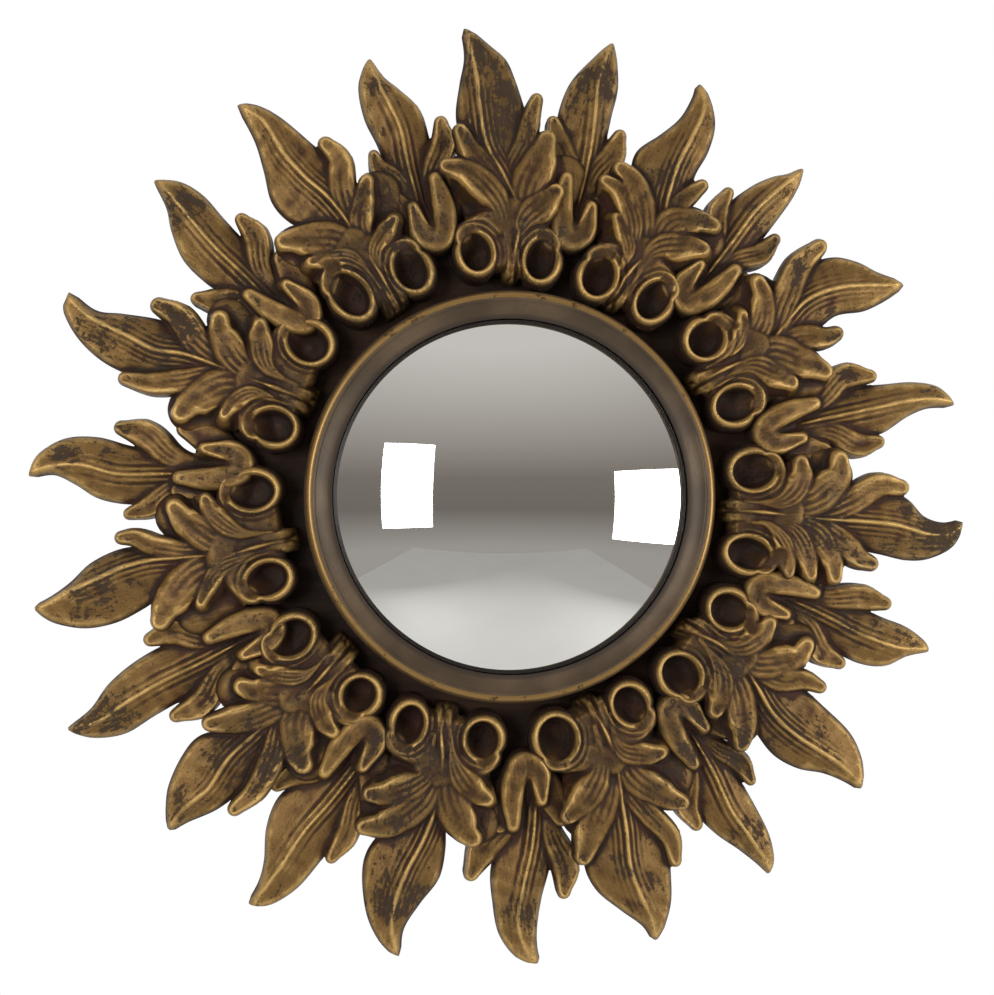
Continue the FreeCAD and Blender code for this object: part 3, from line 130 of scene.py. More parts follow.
class Nodes:
    """Node tree whose nodes are added and fed in one step."""

    def __init__(self, tree: bpy.types.NodeTree) -> None:
        """Work on a tree.

        Args:
            tree: The material's or the world's node tree.
        """
        self.tree = tree

    def node(self, kind: str, settings: dict[str, Any] | None = None,
             values: dict[Any, Any] | None = None) -> bpy.types.Node:
        """Add one node.

        Args:
            kind: The node's type.
            settings: Its own properties, set before its sockets.
            values: Numbers, colours, sockets or signals for its inputs, by name or index.

        Returns:
            The node.
        """
        item = self.tree.nodes.new(kind)
        for key, value in (settings or {}).items():
            setattr(item, key, value)
        for key, value in (values or {}).items():
            self.feed(item.inputs[key], value)
        return item

    def feed(self, socket: bpy.types.NodeSocket, value: Any) -> None:
        """Give an input its link or its constant.

        Args:
            socket: The input.
            value: Signal, output socket, number or colour.
        """
        if isinstance(value, Signal):
            value = value.socket
        if isinstance(value, bpy.types.NodeSocket):
            self.tree.links.new(value, socket)
        else:
            socket.default_value = value

    def blend(self, first: Any, second: Any, share: Any) -> bpy.types.NodeSocket:
        """Mix of two colours.

        Args:
            first: Colour at share 0.
            second: Colour at share 1.
            share: Number, socket or signal.

        Returns:
            The mixed colour's socket.
        """
        item = self.node("ShaderNodeMix", {"data_type": "RGBA"}, {0: share, 6: first, 7: second})
        return item.outputs[2]


class Recipe(Nodes):
    """Node tree of one finish."""

    def __init__(self, name: str) -> None:
        """Start a material.

        Args:
            name: The material's name.
        """
        self.material = bpy.data.materials.new(name)
        self.material.use_nodes = True
        super().__init__(self.material.node_tree)
        self.shader = self.tree.nodes["Principled BSDF"]
        self.place = self.node("ShaderNodeTexCoord").outputs["Object"]

    def noise(self, scale: float, detail: float = 3.0, roughness: float = 0.5,
              stretch: Place | None = None, along: str = "") -> Signal:
        """Cloudy noise on Object coordinates, or on coordinates kept on the mesh.

        Args:
            scale: Features per metre.
            detail: Octaves.
            roughness: Share of the finer octaves.
            stretch: Scale factors of the coordinates, for a grain.
            along: Name of the attribute with the mesh's own coordinates.

        Returns:
            A number round 0.5.
        """
        place = self.kept(along).outputs["Vector"] if along else self.place
        if stretch:
            place = self.node("ShaderNodeMapping", None, {"Vector": place, "Scale": stretch}).outputs[0]
        item = self.node("ShaderNodeTexNoise", None,
                         {"Vector": place, "Scale": scale, "Detail": detail, "Roughness": roughness})
        return Signal(self, item.outputs[0])

    def kept(self, name: str) -> bpy.types.Node:
        """Node that reads what the mesh keeps under a name."""
        return self.node("ShaderNodeAttribute", {"attribute_type": "GEOMETRY", "attribute_name": name})

    def attribute(self, name: str) -> Signal:
        """Number kept on the mesh under a name."""
        return Signal(self, self.kept(name).outputs["Fac"])

    def finish(self, values: dict[str, Any], height: Signal | None = None, depth: float = 0.0,
               strength: float = 1.0) -> bpy.types.Material:
        """Feed the shader.

        Args:
            values: Its sockets' values.
            height: Bump height from 0 to 1.
            depth: The bump's real depth, in metres.
            strength: The bump's strength.

        Returns:
            The material.
        """
        for key, value in values.items():
            self.feed(self.shader.inputs[key], value)
        if height is not None:
            bump = self.node("ShaderNodeBump", None,
                             {"Strength": strength, "Distance": depth, "Height": height})
            self.feed(self.shader.inputs["Normal"], bump.outputs[0])
        return self.material


# ------------------------------------------------------------------------------
# Finishes
# ------------------------------------------------------------------------------

@dataclass(frozen=True)
class CarvedGilding:
    """Worn gold over dark bole on the carvings; the hollows darken with dark wax and painted shade, low
    places and the parts near the rim with painted shade, and convex ridges brighten with rubbed gold and a
    painted highlight.
    """
    wax: Colour = (0.027, 0.014, 0.009, 1)
    bole: Colour = (0.075, 0.024, 0.012, 1)
    old_gold_and_shade: Colour = (0.082, 0.045, 0.018, 1)
    gold: Colour = (0.215, 0.122, 0.039, 1)
    rubbed_gold_and_highlight: Colour = (0.60, 0.385, 0.135, 1)
    olive: Colour = (0.100, 0.074, 0.038, 1)
    edge_grey: Colour = (0.075, 0.050, 0.034, 1)

    def material(self) -> bpy.types.Material:
        """Make the finish.

        Returns:
            The new material.
        """
        recipe = Recipe("carved_gilding")
        relief = recipe.attribute("relief")
        rise = recipe.attribute("rise")
        margin = recipe.attribute("margin")
        outward = recipe.attribute("outward")
        patch = recipe.noise(24, 3)
        cloud = recipe.noise(85, 4, 0.6)
        speck = recipe.noise(360, 6, 0.72)
        fleck = recipe.noise(900, 3, 0.6)
        crisp = recipe.attribute("crisp")
        streak = recipe.noise(520, 4, 0.6, (1.0, 0.16, 1.0), "grain")
        # Brighter gold on convex ridges and away from the mirror, darker gold in hollows and near it: partly
        # rubbed gilding, partly painted highlight and painted shade.
        wear_and_highlight = relief * 0.8 + 0.07 + (crisp - 0.5) * 0.75 + (speck - 0.5) * 0.30 + (streak - 0.5) * 0.42
        wear_and_highlight = wear_and_highlight + (outward - 0.70) * 0.34
        colour = recipe.blend(self.old_gold_and_shade, self.gold, wear_and_highlight.step(0.30, 0.56))
        colour = recipe.blend(colour, self.rubbed_gold_and_highlight, wear_and_highlight.step(0.58, 0.92))
        colour = recipe.blend(colour, self.olive, patch.step(0.46, 0.64) * streak.step(0.40, 0.60) * 0.65)
        colour = recipe.blend(colour, self.edge_grey, (1 - margin.step(0.10, 0.65)) * 0.6)
        red = (0.56 - relief).step(0.02, 0.2) * cloud.step(0.45, 0.65)
        colour = recipe.blend(colour, self.bole, red)
        # Hollows, a little more near the mirror, darken to wax colour: partly dark wax, partly painted shade.
        low = relief + (crisp - 0.5) * 0.45
        wax_and_shade = (0.47 - low + (cloud - 0.5) * 0.3 + (0.5 - outward) * 0.06).step(0.0, 0.2)
        # Low places near the back and the parts near the mirror darken: painted shade.
        depth_shade = 1 - (rise + outward * 0.45).step(0.24, 0.58)
        bitten = speck * 0.40 + streak * 0.32 + cloud * 0.28 + (patch - 0.5) * 0.55 - (crisp - 0.5) * 0.25
        chips = (bitten + (outward - 0.6) * 0.03).step(0.545, 0.59)
        # Dark colour of the wax and of the painted shade.
        dark = recipe.blend(self.wax, self.bole, cloud.step(0.42, 0.70) * 0.55)
        pits = fleck.step(0.61, 0.67) * 0.8
        colour = recipe.blend(colour, self.wax, chips * 0.85)
        colour = recipe.blend(colour, self.wax, pits)
        # Dark wax and painted shade in the hollows, then painted shade in low places and near the mirror.
        colour = recipe.blend(colour, dark, wax_and_shade * 0.9)
        colour = recipe.blend(colour, dark, depth_shade * 0.85)
        bare = (1 - chips) * (1 - wax_and_shade)
        return recipe.finish({
            "Base Color": colour,
            "Metallic": bare * 0.6,
            "Specular IOR Level": 0.3,
            "Roughness": 0.70 - bare * 0.24 + (speck - 0.5) * 0.2,
        }, speck * 0.4 + fleck * 0.3 + streak * 0.4 - chips * 0.4, 0.0009, 0.8)


@dataclass(frozen=True)
class MouldingGilding:
    """Rim: worn bright gold on the bead, darker olive-brown wax in the smooth cove."""
    cove: Colour = (0.058, 0.036, 0.018, 1)
    cove_light: Colour = (0.115, 0.075, 0.040, 1)
    gold: Colour = (0.30, 0.18, 0.060, 1)
    wax: Colour = (0.018, 0.012, 0.009, 1)

    def material(self) -> bpy.types.Material:
        """Make the finish.

        Returns:
            The new material.
        """
        recipe = Recipe("moulding_gilding")
        bead = recipe.attribute("bead")
        gap = recipe.attribute("gap")
        patch = recipe.noise(30, 3)
        cloud = recipe.noise(120, 4, 0.6)
        speck = recipe.noise(420, 6, 0.7)
        plain = recipe.blend(self.cove, self.cove_light, patch.step(0.35, 0.7))
        gilt = (bead + (speck - 0.5) * 0.7).step(0.35, 0.65)
        colour = recipe.blend(plain, self.gold, gilt)
        chips = (speck * 0.6 + cloud * 0.4 + (patch - 0.5) * 0.3).step(0.56, 0.62)
        colour = recipe.blend(colour, self.wax, chips * (0.2 + bead * 0.65))
        colour = recipe.blend(colour, self.wax, gap)
        return recipe.finish({
            "Base Color": colour,
            "Metallic": 0.25 + gilt * 0.45,
            "Roughness": 0.46 - gilt * 0.08 + (speck - 0.5) * 0.12,
        }, speck * 0.7 + cloud * 0.3, 0.0003, 0.35)


@dataclass(frozen=True)
class SilveredGlass:
    """Polished convex mirror, the silvering a little dull at its edge."""
    silver: Colour = (0.86, 0.87, 0.865, 1)
    dull: Colour = (0.40, 0.39, 0.37, 1)

    def material(self) -> bpy.types.Material:
        """Make the finish.

        Returns:
            The new material.
        """
        recipe = Recipe("silvered_glass")
        edge = recipe.attribute("edge")
        cloud = recipe.noise(60, 4, 0.6)
        tired = (edge + (cloud - 0.5) * 0.06).step(0.95, 0.985)
        return recipe.finish({
            "Base Color": recipe.blend(self.silver, self.dull, tired),
            "Metallic": 1.0,
            "Roughness": 0.012 + cloud * 0.006 + tired * 0.12,
        })


@dataclass(frozen=True)
class Timber:
    """Plain or stained wood with its grain along X."""
    name: str
    dark: Colour
    light: Colour
    roughness: float = 0.72
    shine: float = 0.5

    def material(self) -> bpy.types.Material:
        """Make the finish.

        Returns:
            The new material.
        """
        recipe = Recipe(self.name)
        grain = recipe.noise(90, 5, 0.65, (0.06, 1.0, 1.0))
        fine = recipe.noise(600, 4, 0.6, (0.05, 1.0, 1.0))
        stain = recipe.noise(14, 3)
        figure = grain * 0.7 + fine * 0.3 + (stain - 0.5) * 0.5
        return recipe.finish({
            "Base Color": recipe.blend(self.dark, self.light, figure.step(0.32, 0.7)),
            "Roughness": self.roughness + (fine - 0.5) * 0.2,
            "Specular IOR Level": self.shine,
        }, grain * 0.5 + fine * 0.5, 0.0003, 0.4)


@dataclass(frozen=True)
class Brass:
    """Dulled brass hardware."""
    metal: Colour = (0.52, 0.37, 0.15, 1)
    tarnish: Colour = (0.17, 0.11, 0.055, 1)

    def material(self) -> bpy.types.Material:
        """Make the finish.

        Returns:
            The new material.
        """
        recipe = Recipe("dulled_brass")
        cloud = recipe.noise(260, 5, 0.6)
        scratch = recipe.noise(1600, 3, 0.6, (1.0, 1.0, 0.15))
        tarnished = (cloud + (scratch - 0.5) * 0.3).step(0.42, 0.66)
        return recipe.finish({
            "Base Color": recipe.blend(self.metal, self.tarnish, tarnished * 0.8),
            "Metallic": 1.0,
            "Roughness": 0.30 + tarnished * 0.28,
        }, scratch, 0.0001, 0.3)


# ------------------------------------------------------------------------------
# Carving
# ------------------------------------------------------------------------------

@dataclass
class Petal:
    """One lobe or petal along a bent line; its ridge is a rise in front of the ring's face."""
    foot: Point
    middle: Point
    tip: Point
    half_width: float
    rise: float

    @property
    def turn(self) -> int:
        """1 where it turns to the right of its leaf, -1 to the left."""
        return 1 if self.tip[0] > self.foot[0] else -1


@dataclass
class Volute:
    """Rolled eye: centre, half width and half height of its hollow, and its lean in degrees."""
    centre: Point
    half_across: float
    half_out: float
    lean: float = 0.0


@dataclass
class Leaf:
    """A leaf: its place on the clock, the two edges and the midrib of its flame, and what branches off."""
    clock: float
    left: list[Point]
    rib: list[Point]
    right: list[Point]
    petals: list[Petal]
    volutes: list[Volute]
    curl_across: float = 0.0


FRONT_LEAVES = [
    Leaf(0,
         [(-5, 114), (-7, 140), (-10, 160), (-17, 179), (-26, 196), (-29, 211), (-27, 228), (-24.5, 243),
          (-26.5, 259)],
         [(3, 135), (5, 154), (-3.5, 175), (-12.5, 192), (-16, 210), (-18, 230), (-21, 246)],
         [(6, 114), (9, 140), (13, 160), (15, 180), (14, 199), (9, 216), (4, 231), (-1, 242), (-10, 250),
          (-21, 259)],
         [Petal((-6, 158), (-21, 175), (-37, 180), 9, 19), Petal((-10, 176), (-21, 190), (-28, 202), 8.5, 14),
          Petal((8, 194), (12, 209), (16, 221), 7, 10), Petal((8, 165), (15, 182), (22, 199), 11, 16),
          Petal((6, 146), (16, 158), (27, 168), 9.5, 20)],
         [Volute((-18.5, 132), 9, 11, -12), Volute((16.5, 128.5), 9, 11.5, 8)]),
    Leaf(27,
         [(-5, 114), (-4, 136), (-6, 155), (-12, 172), (-20, 189), (-23.5, 204), (-16, 219), (-10.5, 232),
          (-9.5, 245), (-11, 254)],
         [(1.5, 134), (6, 153), (7, 171), (3, 187), (0, 205), (0, 225), (-1, 242)],
         [(8, 114), (9, 136), (12, 155), (15, 172), (16.5, 190), (12, 207), (12.5, 222), (10, 236), (4, 246),
          (-6, 255.5)],
         [Petal((-5, 170), (-18, 185), (-30, 189), 9, 17), Petal((-6, 160), (-20, 175), (-34, 178), 7, 19),
          Petal((9, 184), (14, 196), (18, 204), 7, 13), Petal((9, 172), (22, 182), (35, 185), 9, 17),
          Petal((8, 154), (21, 165), (35, 170), 9, 20), Petal((-3, 146), (-10, 156), (-18, 163), 5.5, 21)],
         [Volute((-11.5, 128.5), 9.5, 11.5, -6), Volute((21, 131), 9, 12, 8)]),
    Leaf(58,
         [(-6, 114), (-6, 138), (-8, 158), (-14, 178), (-20, 196), (-22, 211), (-17.5, 227), (-8, 237.5),
          (3, 244.5), (14, 253.5)],
         [(3, 136), (5, 151), (4, 166), (-1, 182), (-5, 197), (-3, 213), (4, 230), (12, 244)],
         [(9, 114), (10, 138), (12, 158), (14, 178), (13, 196), (11.5, 211), (17.5, 226), (19, 240),
          (18.5, 253)],
         [Petal((-11, 188), (-23, 206), (-27, 224), 9, 12), Petal((10, 184), (18, 197), (20, 206), 8.5, 12),
          Petal((8, 164), (23, 178), (36, 187), 10.5, 17), Petal((8, 148), (19, 159), (31, 166), 8.5, 20),
          Petal((-4, 145), (-10, 156), (-18, 162), 5.5, 21), Petal((-6, 166), (-18, 177), (-30, 180), 8.5,
           17)],
         [Volute((-16, 136.5), 10, 11, -8), Volute((22.5, 131.5), 10, 12, 8)]),
    Leaf(93,
         [(-6, 114), (-6, 138), (-8, 158), (-12, 178), (-16, 196), (-17, 212), (-10.5, 226), (-2, 235),
          (1, 246), (-1.5, 257)],
         [(1, 136), (2, 155), (3, 175), (3, 195), (4, 216), (8, 236), (7, 249)],
         [(8, 114), (10, 138), (13, 158), (17, 178), (19, 196), (21, 211), (23.5, 226), (22, 239), (15, 252),
          (4, 258.5)],
         [Petal((-7, 190), (-17, 206), (-17, 222), 9, 12), Petal((13, 184), (23, 196), (27, 206), 8.5, 13),
          Petal((-6, 166), (-20, 181), (-34, 182), 10.5, 17), Petal((-5, 148), (-17, 159), (-30, 159), 8.5,
           20),
          Petal((10, 168), (24, 180), (37, 183), 8.5, 16), Petal((9, 154), (24, 165), (36, 168), 7.5, 19),
          Petal((8, 142), (22, 153), (35, 155), 6, 21)],
         [Volute((-21, 132.5), 10.5, 12.5, -8), Volute((24, 132), 9.5, 12.5, 8)]),
    Leaf(126,
         [(-5, 114), (-8, 138), (-9, 158), (-10, 178), (-11, 196), (-9.5, 212), (-6.5, 232), (1, 246),
          (12, 256)],
         [(-2, 137), (-1, 154), (4, 170), (11, 188), (13, 205), (12, 224), (12, 242)],
         [(12, 114), (9, 138), (13, 158), (18, 175), (25, 190), (29, 205), (27, 220), (21, 233), (18, 245),
          (17, 255.5)],
         [Petal((-5, 178), (-14, 191), (-17, 203), 7, 14), Petal((-5, 162), (-20, 179), (-33, 181), 9.5, 17),
          Petal((-5, 146), (-18, 155), (-30, 156), 8.5, 20), Petal((12, 163), (26, 178), (37, 184), 9.5, 17),
          Petal((8, 146), (20, 157), (31, 160), 8.5, 20)],
         [Volute((-20, 133), 10, 11, -6), Volute((23.5, 132), 10.5, 12, 8)]),
    Leaf(158,
         [(-4, 114), (-6, 138), (-6, 158), (-8, 178), (-10, 196), (-10, 212), (-5, 229), (1, 243),
          (12.5, 257.5)],
         [(0, 136), (1, 156), (5, 175), (9, 193), (14, 210), (15, 226), (14, 242)],
         [(13, 114), (9, 138), (12, 158), (20, 176), (30, 190), (37, 204), (36, 219), (28, 234), (20, 247),
          (18, 257)],
         [Petal((-5, 188), (-12, 205), (-10, 221), 7, 12), Petal((-5, 166), (-17, 183), (-27, 192), 9.5, 16),
          Petal((-4, 148), (-15, 157), (-26, 160), 7.5, 20), Petal((13, 170), (27, 186), (38, 199), 10.5, 15),
          Petal((9, 153), (23, 167), (38, 173), 9.5, 19)],
         [Volute((-18, 129), 9.5, 11, -8), Volute((25.5, 130.5), 11, 12.5, 10)]),
    Leaf(191,
         [(4, 114), (2, 138), (1, 158), (0, 178), (-3, 196), (-2.5, 212), (5, 227), (11, 242), (10, 256)],
         [(13, 129), (9.5, 144), (7.5, 160), (8, 176), (11, 192), (16, 208), (19, 225), (18, 241)],
         [(19, 114), (17, 138), (17, 158), (23, 177), (32, 190), (39, 204), (39, 218), (33, 237), (24, 250),
          (13.5, 258)],
         [Petal((1, 166), (-10, 181), (-18, 187), 10.5, 17), Petal((1, 148), (-10, 159), (-21, 163), 8.5, 20),
          Petal((15, 168), (31, 185), (46, 190), 9.5, 17), Petal((15, 154), (31, 168), (46, 171), 9, 19)],
         [Volute((-10, 131), 9.5, 10.5, -10), Volute((30, 130), 8.5, 11, 0)]),
    Leaf(226,
         [(-6, 114), (-5, 138), (-6, 158), (-9, 178), (-13, 196), (-14, 214), (-12, 231), (-6, 247),
          (-3.5, 257)],
         [(1.5, 138), (1, 155), (3, 171), (4, 188), (4, 206), (0, 225), (1, 243)],
         [(14, 114), (9, 138), (11, 158), (13, 178), (16, 195), (23.5, 211), (22, 225), (16, 240), (9, 249),
          (1, 256.5)],
         [Petal((-11, 188), (-18, 207), (-18, 225), 7.5, 12), Petal((-4, 162), (-17, 176), (-29, 181), 10.5,
          17),
          Petal((-5, 147), (-15, 155), (-26, 156), 7, 20), Petal((9, 178), (18, 192), (26, 202), 9, 15),
          Petal((8, 158), (19, 170), (29, 175), 9.5, 18), Petal((8, 145), (18, 156), (28, 161), 6, 21)],
         [Volute((-20, 132), 9.5, 10, -4), Volute((27, 136.5), 10, 12, 6)]),
    Leaf(258,
         [(-6, 114), (-4, 138), (-5, 158), (-8, 176), (-13, 192), (-19, 208), (-22.5, 222), (-22, 238),
          (-16, 253), (-8, 262)],
         [(2, 136), (1, 151), (3, 166), (5, 181), (7, 196), (6, 211), (3, 225), (-1, 243)],
         [(10, 114), (8, 138), (10, 158), (13, 178), (15, 196), (16, 212), (12, 228), (4, 241), (-1, 252),
          (-4, 262)],
         [Petal((-5, 174), (-18, 191), (-29, 199), 11, 15), Petal((-4, 157), (-13, 168), (-22, 174), 6, 19),
          Petal((11, 188), (20, 201), (22, 210), 7, 13), Petal((8, 157), (22, 172), (34, 178), 9.5, 18),
          Petal((11, 145), (23, 157), (34, 160), 7, 21)],
         [Volute((-16, 136), 9.5, 11.5, -6), Volute((31, 134.5), 10, 12.5, 6)]),
    Leaf(293,
         [(-6, 114), (-4, 138), (-6, 158), (-10, 178), (-15, 196), (-19.5, 212), (-19, 230), (-13, 247),
          (-3, 260), (6, 263.5)],
         [(4, 138), (3, 158), (3, 176), (2, 191), (-2, 206), (-1, 223), (0, 241), (3, 254)],
         [(16, 114), (10, 138), (10, 158), (12, 178), (14, 195), (14.5, 211), (9.5, 231), (5.5, 245),
          (9.5, 261)],
         [Petal((-11, 186), (-19, 201), (-23, 217), 7.5, 12), Petal((9, 186), (19, 201), (21, 217), 9, 12),
          Petal((-4, 163), (-18, 176), (-31, 181), 11, 17), Petal((-3, 147), (-12, 156), (-21, 158), 6, 21),
          Petal((8, 160), (18, 176), (29, 182), 9.5, 18), Petal((12, 146), (24, 156), (34, 160), 7.5, 21)],
         [Volute((-15, 131.5), 9.5, 11.5, -8), Volute((33, 132), 10.5, 12, 6)]),
    Leaf(325,
         [(-2, 114), (2, 138), (2, 158), (-3, 176), (-12, 191), (-14, 206), (-8, 222), (-2.5, 239),
          (0, 259.5)],
         [(11, 138), (11, 158), (13, 175), (12, 190), (8, 206), (6, 223), (7.5, 243)],
         [(18, 114), (16, 138), (18, 158), (22, 176), (26, 191), (26, 206), (22.5, 221), (17, 241), (11, 253),
          (3.5, 260.5)],
         [Petal((20, 188), (29, 203), (28, 217), 8.5, 12), Petal((16, 164), (27, 178), (36, 186), 7.5, 16),
          Petal((14, 147), (25, 155), (35, 159), 6, 20), Petal((3, 166), (-13, 178), (-24, 184), 10.5, 17),
          Petal((4, 152), (-7, 161), (-17, 165), 6, 20)],
         [Volute((-8.5, 138), 9.5, 13.5, -4), Volute((26, 131), 9.5, 12, 8)]),
]

# A back leaf's own curl stands at its foot, between the volutes of its two neighbours.
BACK_LEAVES = [
    Leaf(13.5,
         [(-11, 147.5), (-13, 166.5), (-17, 187), (-21, 205), (-22, 221), (-19, 236.5), (-9, 254),
          (-3, 262.5)],
         [(0, 166.5), (0, 190), (-2, 214), (-5, 238.5)],
         [(11, 147.5), (10, 166.5), (9, 187), (8, 205), (7.5, 222), (7.5, 237.5), (4, 251.5), (-0.5, 262.5)],
         [Petal((-8, 182), (-18, 198), (-24, 209), 8, -1), Petal((5, 184), (12, 199), (14, 211), 8, -1)], [],
         curl_across=0),
    Leaf(42.5,
         [(-12, 147.5), (-14, 166.5), (-17, 187), (-20, 205), (-17, 223), (-12, 235.5), (-6.5, 243.5),
          (-3, 251.5)],
         [(-2, 166.5), (-4, 190), (-6, 212), (-4, 234.5)],
         [(10, 147.5), (10, 166.5), (10, 187), (8.5, 205), (7, 221), (5.5, 233.5), (3, 243.5), (-0.5, 251)],
         [Petal((-10, 182), (-21, 198), (-24, 210), 7, -1), Petal((4, 182), (12, 196), (13, 209), 7, -1)], [],
         curl_across=-2),
    Leaf(75.5,
         [(-10, 147.5), (-11, 166.5), (-12, 187), (-12, 205), (-9, 223), (-6, 240.5), (0, 254.5),
          (10, 261.5)],
         [(1, 166.5), (2, 190), (3, 212), (4, 234.5), (7, 249.5)],
         [(12, 147.5), (13, 166.5), (15, 187), (18, 203), (18, 217), (12.5, 233.5), (11, 246.5), (14, 260.5)],
         [Petal((-8, 182), (-18, 199), (-15, 216), 8, -1), Petal((9, 184), (20, 198), (22, 211), 8, -1)], [],
         curl_across=2),
    Leaf(109.5,
         [(-10, 147.5), (-11, 166.5), (-10, 187), (-9, 207), (-7.5, 224), (-7, 238.5), (-3.5, 250.5),
          (0.5, 256)],
         [(1, 166.5), (3, 190), (6, 212), (6, 234.5), (3, 247.5)],
         [(12, 147.5), (14, 166.5), (17, 187), (20.5, 207), (21.5, 222), (18, 234.5), (9, 244.5), (3, 254.5)],
         [Petal((-6, 186), (-13, 205), (-15, 221), 8, -1), Petal((10, 179.5), (22, 194), (25, 207), 8, -1)],
          [],
         curl_across=3),
    Leaf(142,
         [(-10, 147.5), (-10, 166.5), (-9, 187), (-6, 207), (-3.5, 224), (0, 240.5), (6, 252.5),
          (12.5, 257.5)],
         [(1, 166.5), (4, 190), (9, 212), (10, 232.5), (11, 247.5)],
         [(12, 147.5), (15, 166.5), (20, 187), (25, 206), (23.5, 221), (19, 235.5), (16, 247.5),
          (14.5, 256.5)],
         [Petal((-5, 179.5), (-11, 195), (-10, 208), 6.5, -1), Petal((13, 179.5), (26, 195), (29, 208), 8,
          -1)], [],
         curl_across=0),
    Leaf(174.5,
         [(-11, 147.5), (-11, 166.5), (-9, 187), (-4, 207), (2, 223), (6, 238.5), (7, 249.5), (6, 258.5)],
         [(1, 166.5), (5, 190), (12, 212), (17, 232.5), (14, 248.5)],
         [(12, 147.5), (16, 166.5), (23, 187), (29, 206), (29.5, 223), (28, 239.5), (21, 252.5), (11, 259.5)],
         [Petal((-6, 186), (-12, 204), (-10, 220), 8, -1), Petal((15, 173.5), (31, 190), (40, 204), 9, -1)],
          [],
         curl_across=5),
    Leaf(208.5,
         [(-10, 147.5), (-10, 166.5), (-9, 187), (-8, 207), (-5, 226), (-1, 243.5), (7, 257.5), (16, 263.5)],
         [(2, 166.5), (6, 190), (11, 212), (13, 233.5), (15, 249.5)],
         [(13, 147.5), (17, 166.5), (25, 187), (32, 205), (30, 222), (22.5, 238.5), (19.5, 250.5),
          (19.5, 262.5)],
         [Petal((-5, 184), (-10, 202), (-9, 219), 7, -1), Petal((17, 175.5), (30, 188), (36, 198), 8, -1)],
          [],
         curl_across=7),
    Leaf(242,
         [(-13, 147.5), (-13, 166.5), (-14, 187), (-14.5, 207), (-15, 226), (-16, 244.5), (-10, 260.5),
          (-0.5, 271)],
         [(-1, 166.5), (-1, 190), (0, 212), (-1, 234.5), (-3, 252.5)],
         [(11, 147.5), (12, 166.5), (15, 187), (17, 206), (16, 224), (12, 240.5), (5, 254.5), (2, 269.5)],
         [Petal((-9, 179.5), (-20, 198), (-20, 215), 8, -1), Petal((8, 179.5), (20, 194), (23, 208), 8,
          -1)], [],
         curl_across=-1),
    Leaf(275.5,
         [(-16, 147.5), (-18, 166.5), (-21, 187), (-24, 205), (-22.5, 222), (-16, 235.5), (-12, 247.5),
          (-15, 260)],
         [(-3, 166.5), (-6, 190), (-8, 212), (-5, 232.5), (-8, 249.5)],
         [(9, 147.5), (8, 166.5), (7, 187), (8, 207), (11, 226), (8.5, 243.5), (-1, 256.5), (-11, 261)],
         [Petal((-12, 179.5), (-24, 194), (-29, 204), 7, -1), Petal((3, 182), (14, 198), (17, 213), 8.5,
          -1)], [],
         curl_across=3),
    Leaf(309,
         [(-10, 147.5), (-11, 166.5), (-12, 187), (-13, 205), (-11, 221), (-3, 235.5), (5, 245.5),
          (11.5, 259.5)],
         [(1, 166.5), (3, 190), (5, 212), (9, 232.5), (12, 247.5)],
         [(12, 147.5), (14, 166.5), (17, 187), (19, 205), (21, 219), (23.5, 234.5), (21.5, 248.5), (14, 260)],
         [Petal((-8, 177.5), (-18, 192), (-23, 200), 8, -1), Petal((11, 182), (23, 196), (26, 209), 8, -1)],
          [],
         curl_across=6),
    Leaf(342.5,
         [(-10, 147.5), (-10, 166.5), (-10, 187), (-10, 207), (-12.5, 224), (-11, 240.5), (-6, 250),
          (-1, 255.5)],
         [(1, 166.5), (2, 190), (4, 212), (1, 234.5)],
         [(12, 147.5), (14, 166.5), (17, 187), (19, 205), (18.5, 221), (11, 234.5), (5, 243.5), (1, 255)],
         [Petal((-5, 182), (-13, 194), (-14, 202), 6.5, -1), Petal((12, 179.5), (24, 196), (27, 209), 8,
          -1)], [],
         curl_across=4),
]


class Tier(Enum):
    """Where a leaf stands: in front of the backing ring's face, or behind its neighbours."""
    FRONT = "front"
    BACK = "back"


@dataclass(frozen=True)
class TierSizes:
    """Heights of one tier, from the wall plane, and the grid that its leaves are carved on."""
    back: float
    edges: tuple[float, ...]
    crests: tuple[float, ...]
    sharpness: float
    foot: float
    step: float
    low: Point
    high: Point = (66, 272)


@dataclass(frozen=True)
class Lobe:
    """Section of a lobe: its widths and top heights at even stations from root to tip, and its edge.

    The lip is a raised line along the edge, the tilt lifts the side on the left of the way to the tip (the
    right one where it is negative), and the scribed lines run along the lobe's middle.
    """
    half_width: float
    widths: tuple[float, ...]
    tops: tuple[float, ...]
    drop: float
    lip: float = 0.0
    tilt: float = 0.0
    scribed: float = 0.0


RING_FACE = 14.0
STEM_FOOT = 114.0
STEM_TOPS = (34, 33.5)
TIP_HALF_WIDTH = 0.9
FRONT_VEINS = ((2.1, 1.6), (4.9, 1.1), (7.6, 0.6))
PETAL_WIDTHS = (0.2, 0.22, 0.36, 0.7, 1.0, 1.08, 0.95, 0.55)
SIDE_LOBE_WIDTHS = (0.3, 0.55, 0.85, 1.0, 1.0, 0.5)
CURL_WIDTHS = (0.6, 1.0, 1.15, 1.15, 1.0, 0.5)
WEBS = (Petal((-3, 138), (-14, 157), (-25, 177), 14, 7), Petal((6, 138), (17, 157), (28, 177), 14, 7))
TIER_SIZES = {
    Tier.FRONT: TierSizes(RING_FACE, (25, 25, 21.5, 18, 18, 18), (32, 36, 32, 27, 27, 23, 18.5), 1.5,
                          STEM_FOOT, 0.5, (-62, 104)),
    Tier.BACK: TierSizes(3.0, (10.5, 10.5, 10.5), (15.5, 16.5, 19, 19.5, 17, 11), 1.35,
                         140.0, 0.6, (-48, 112)),
}


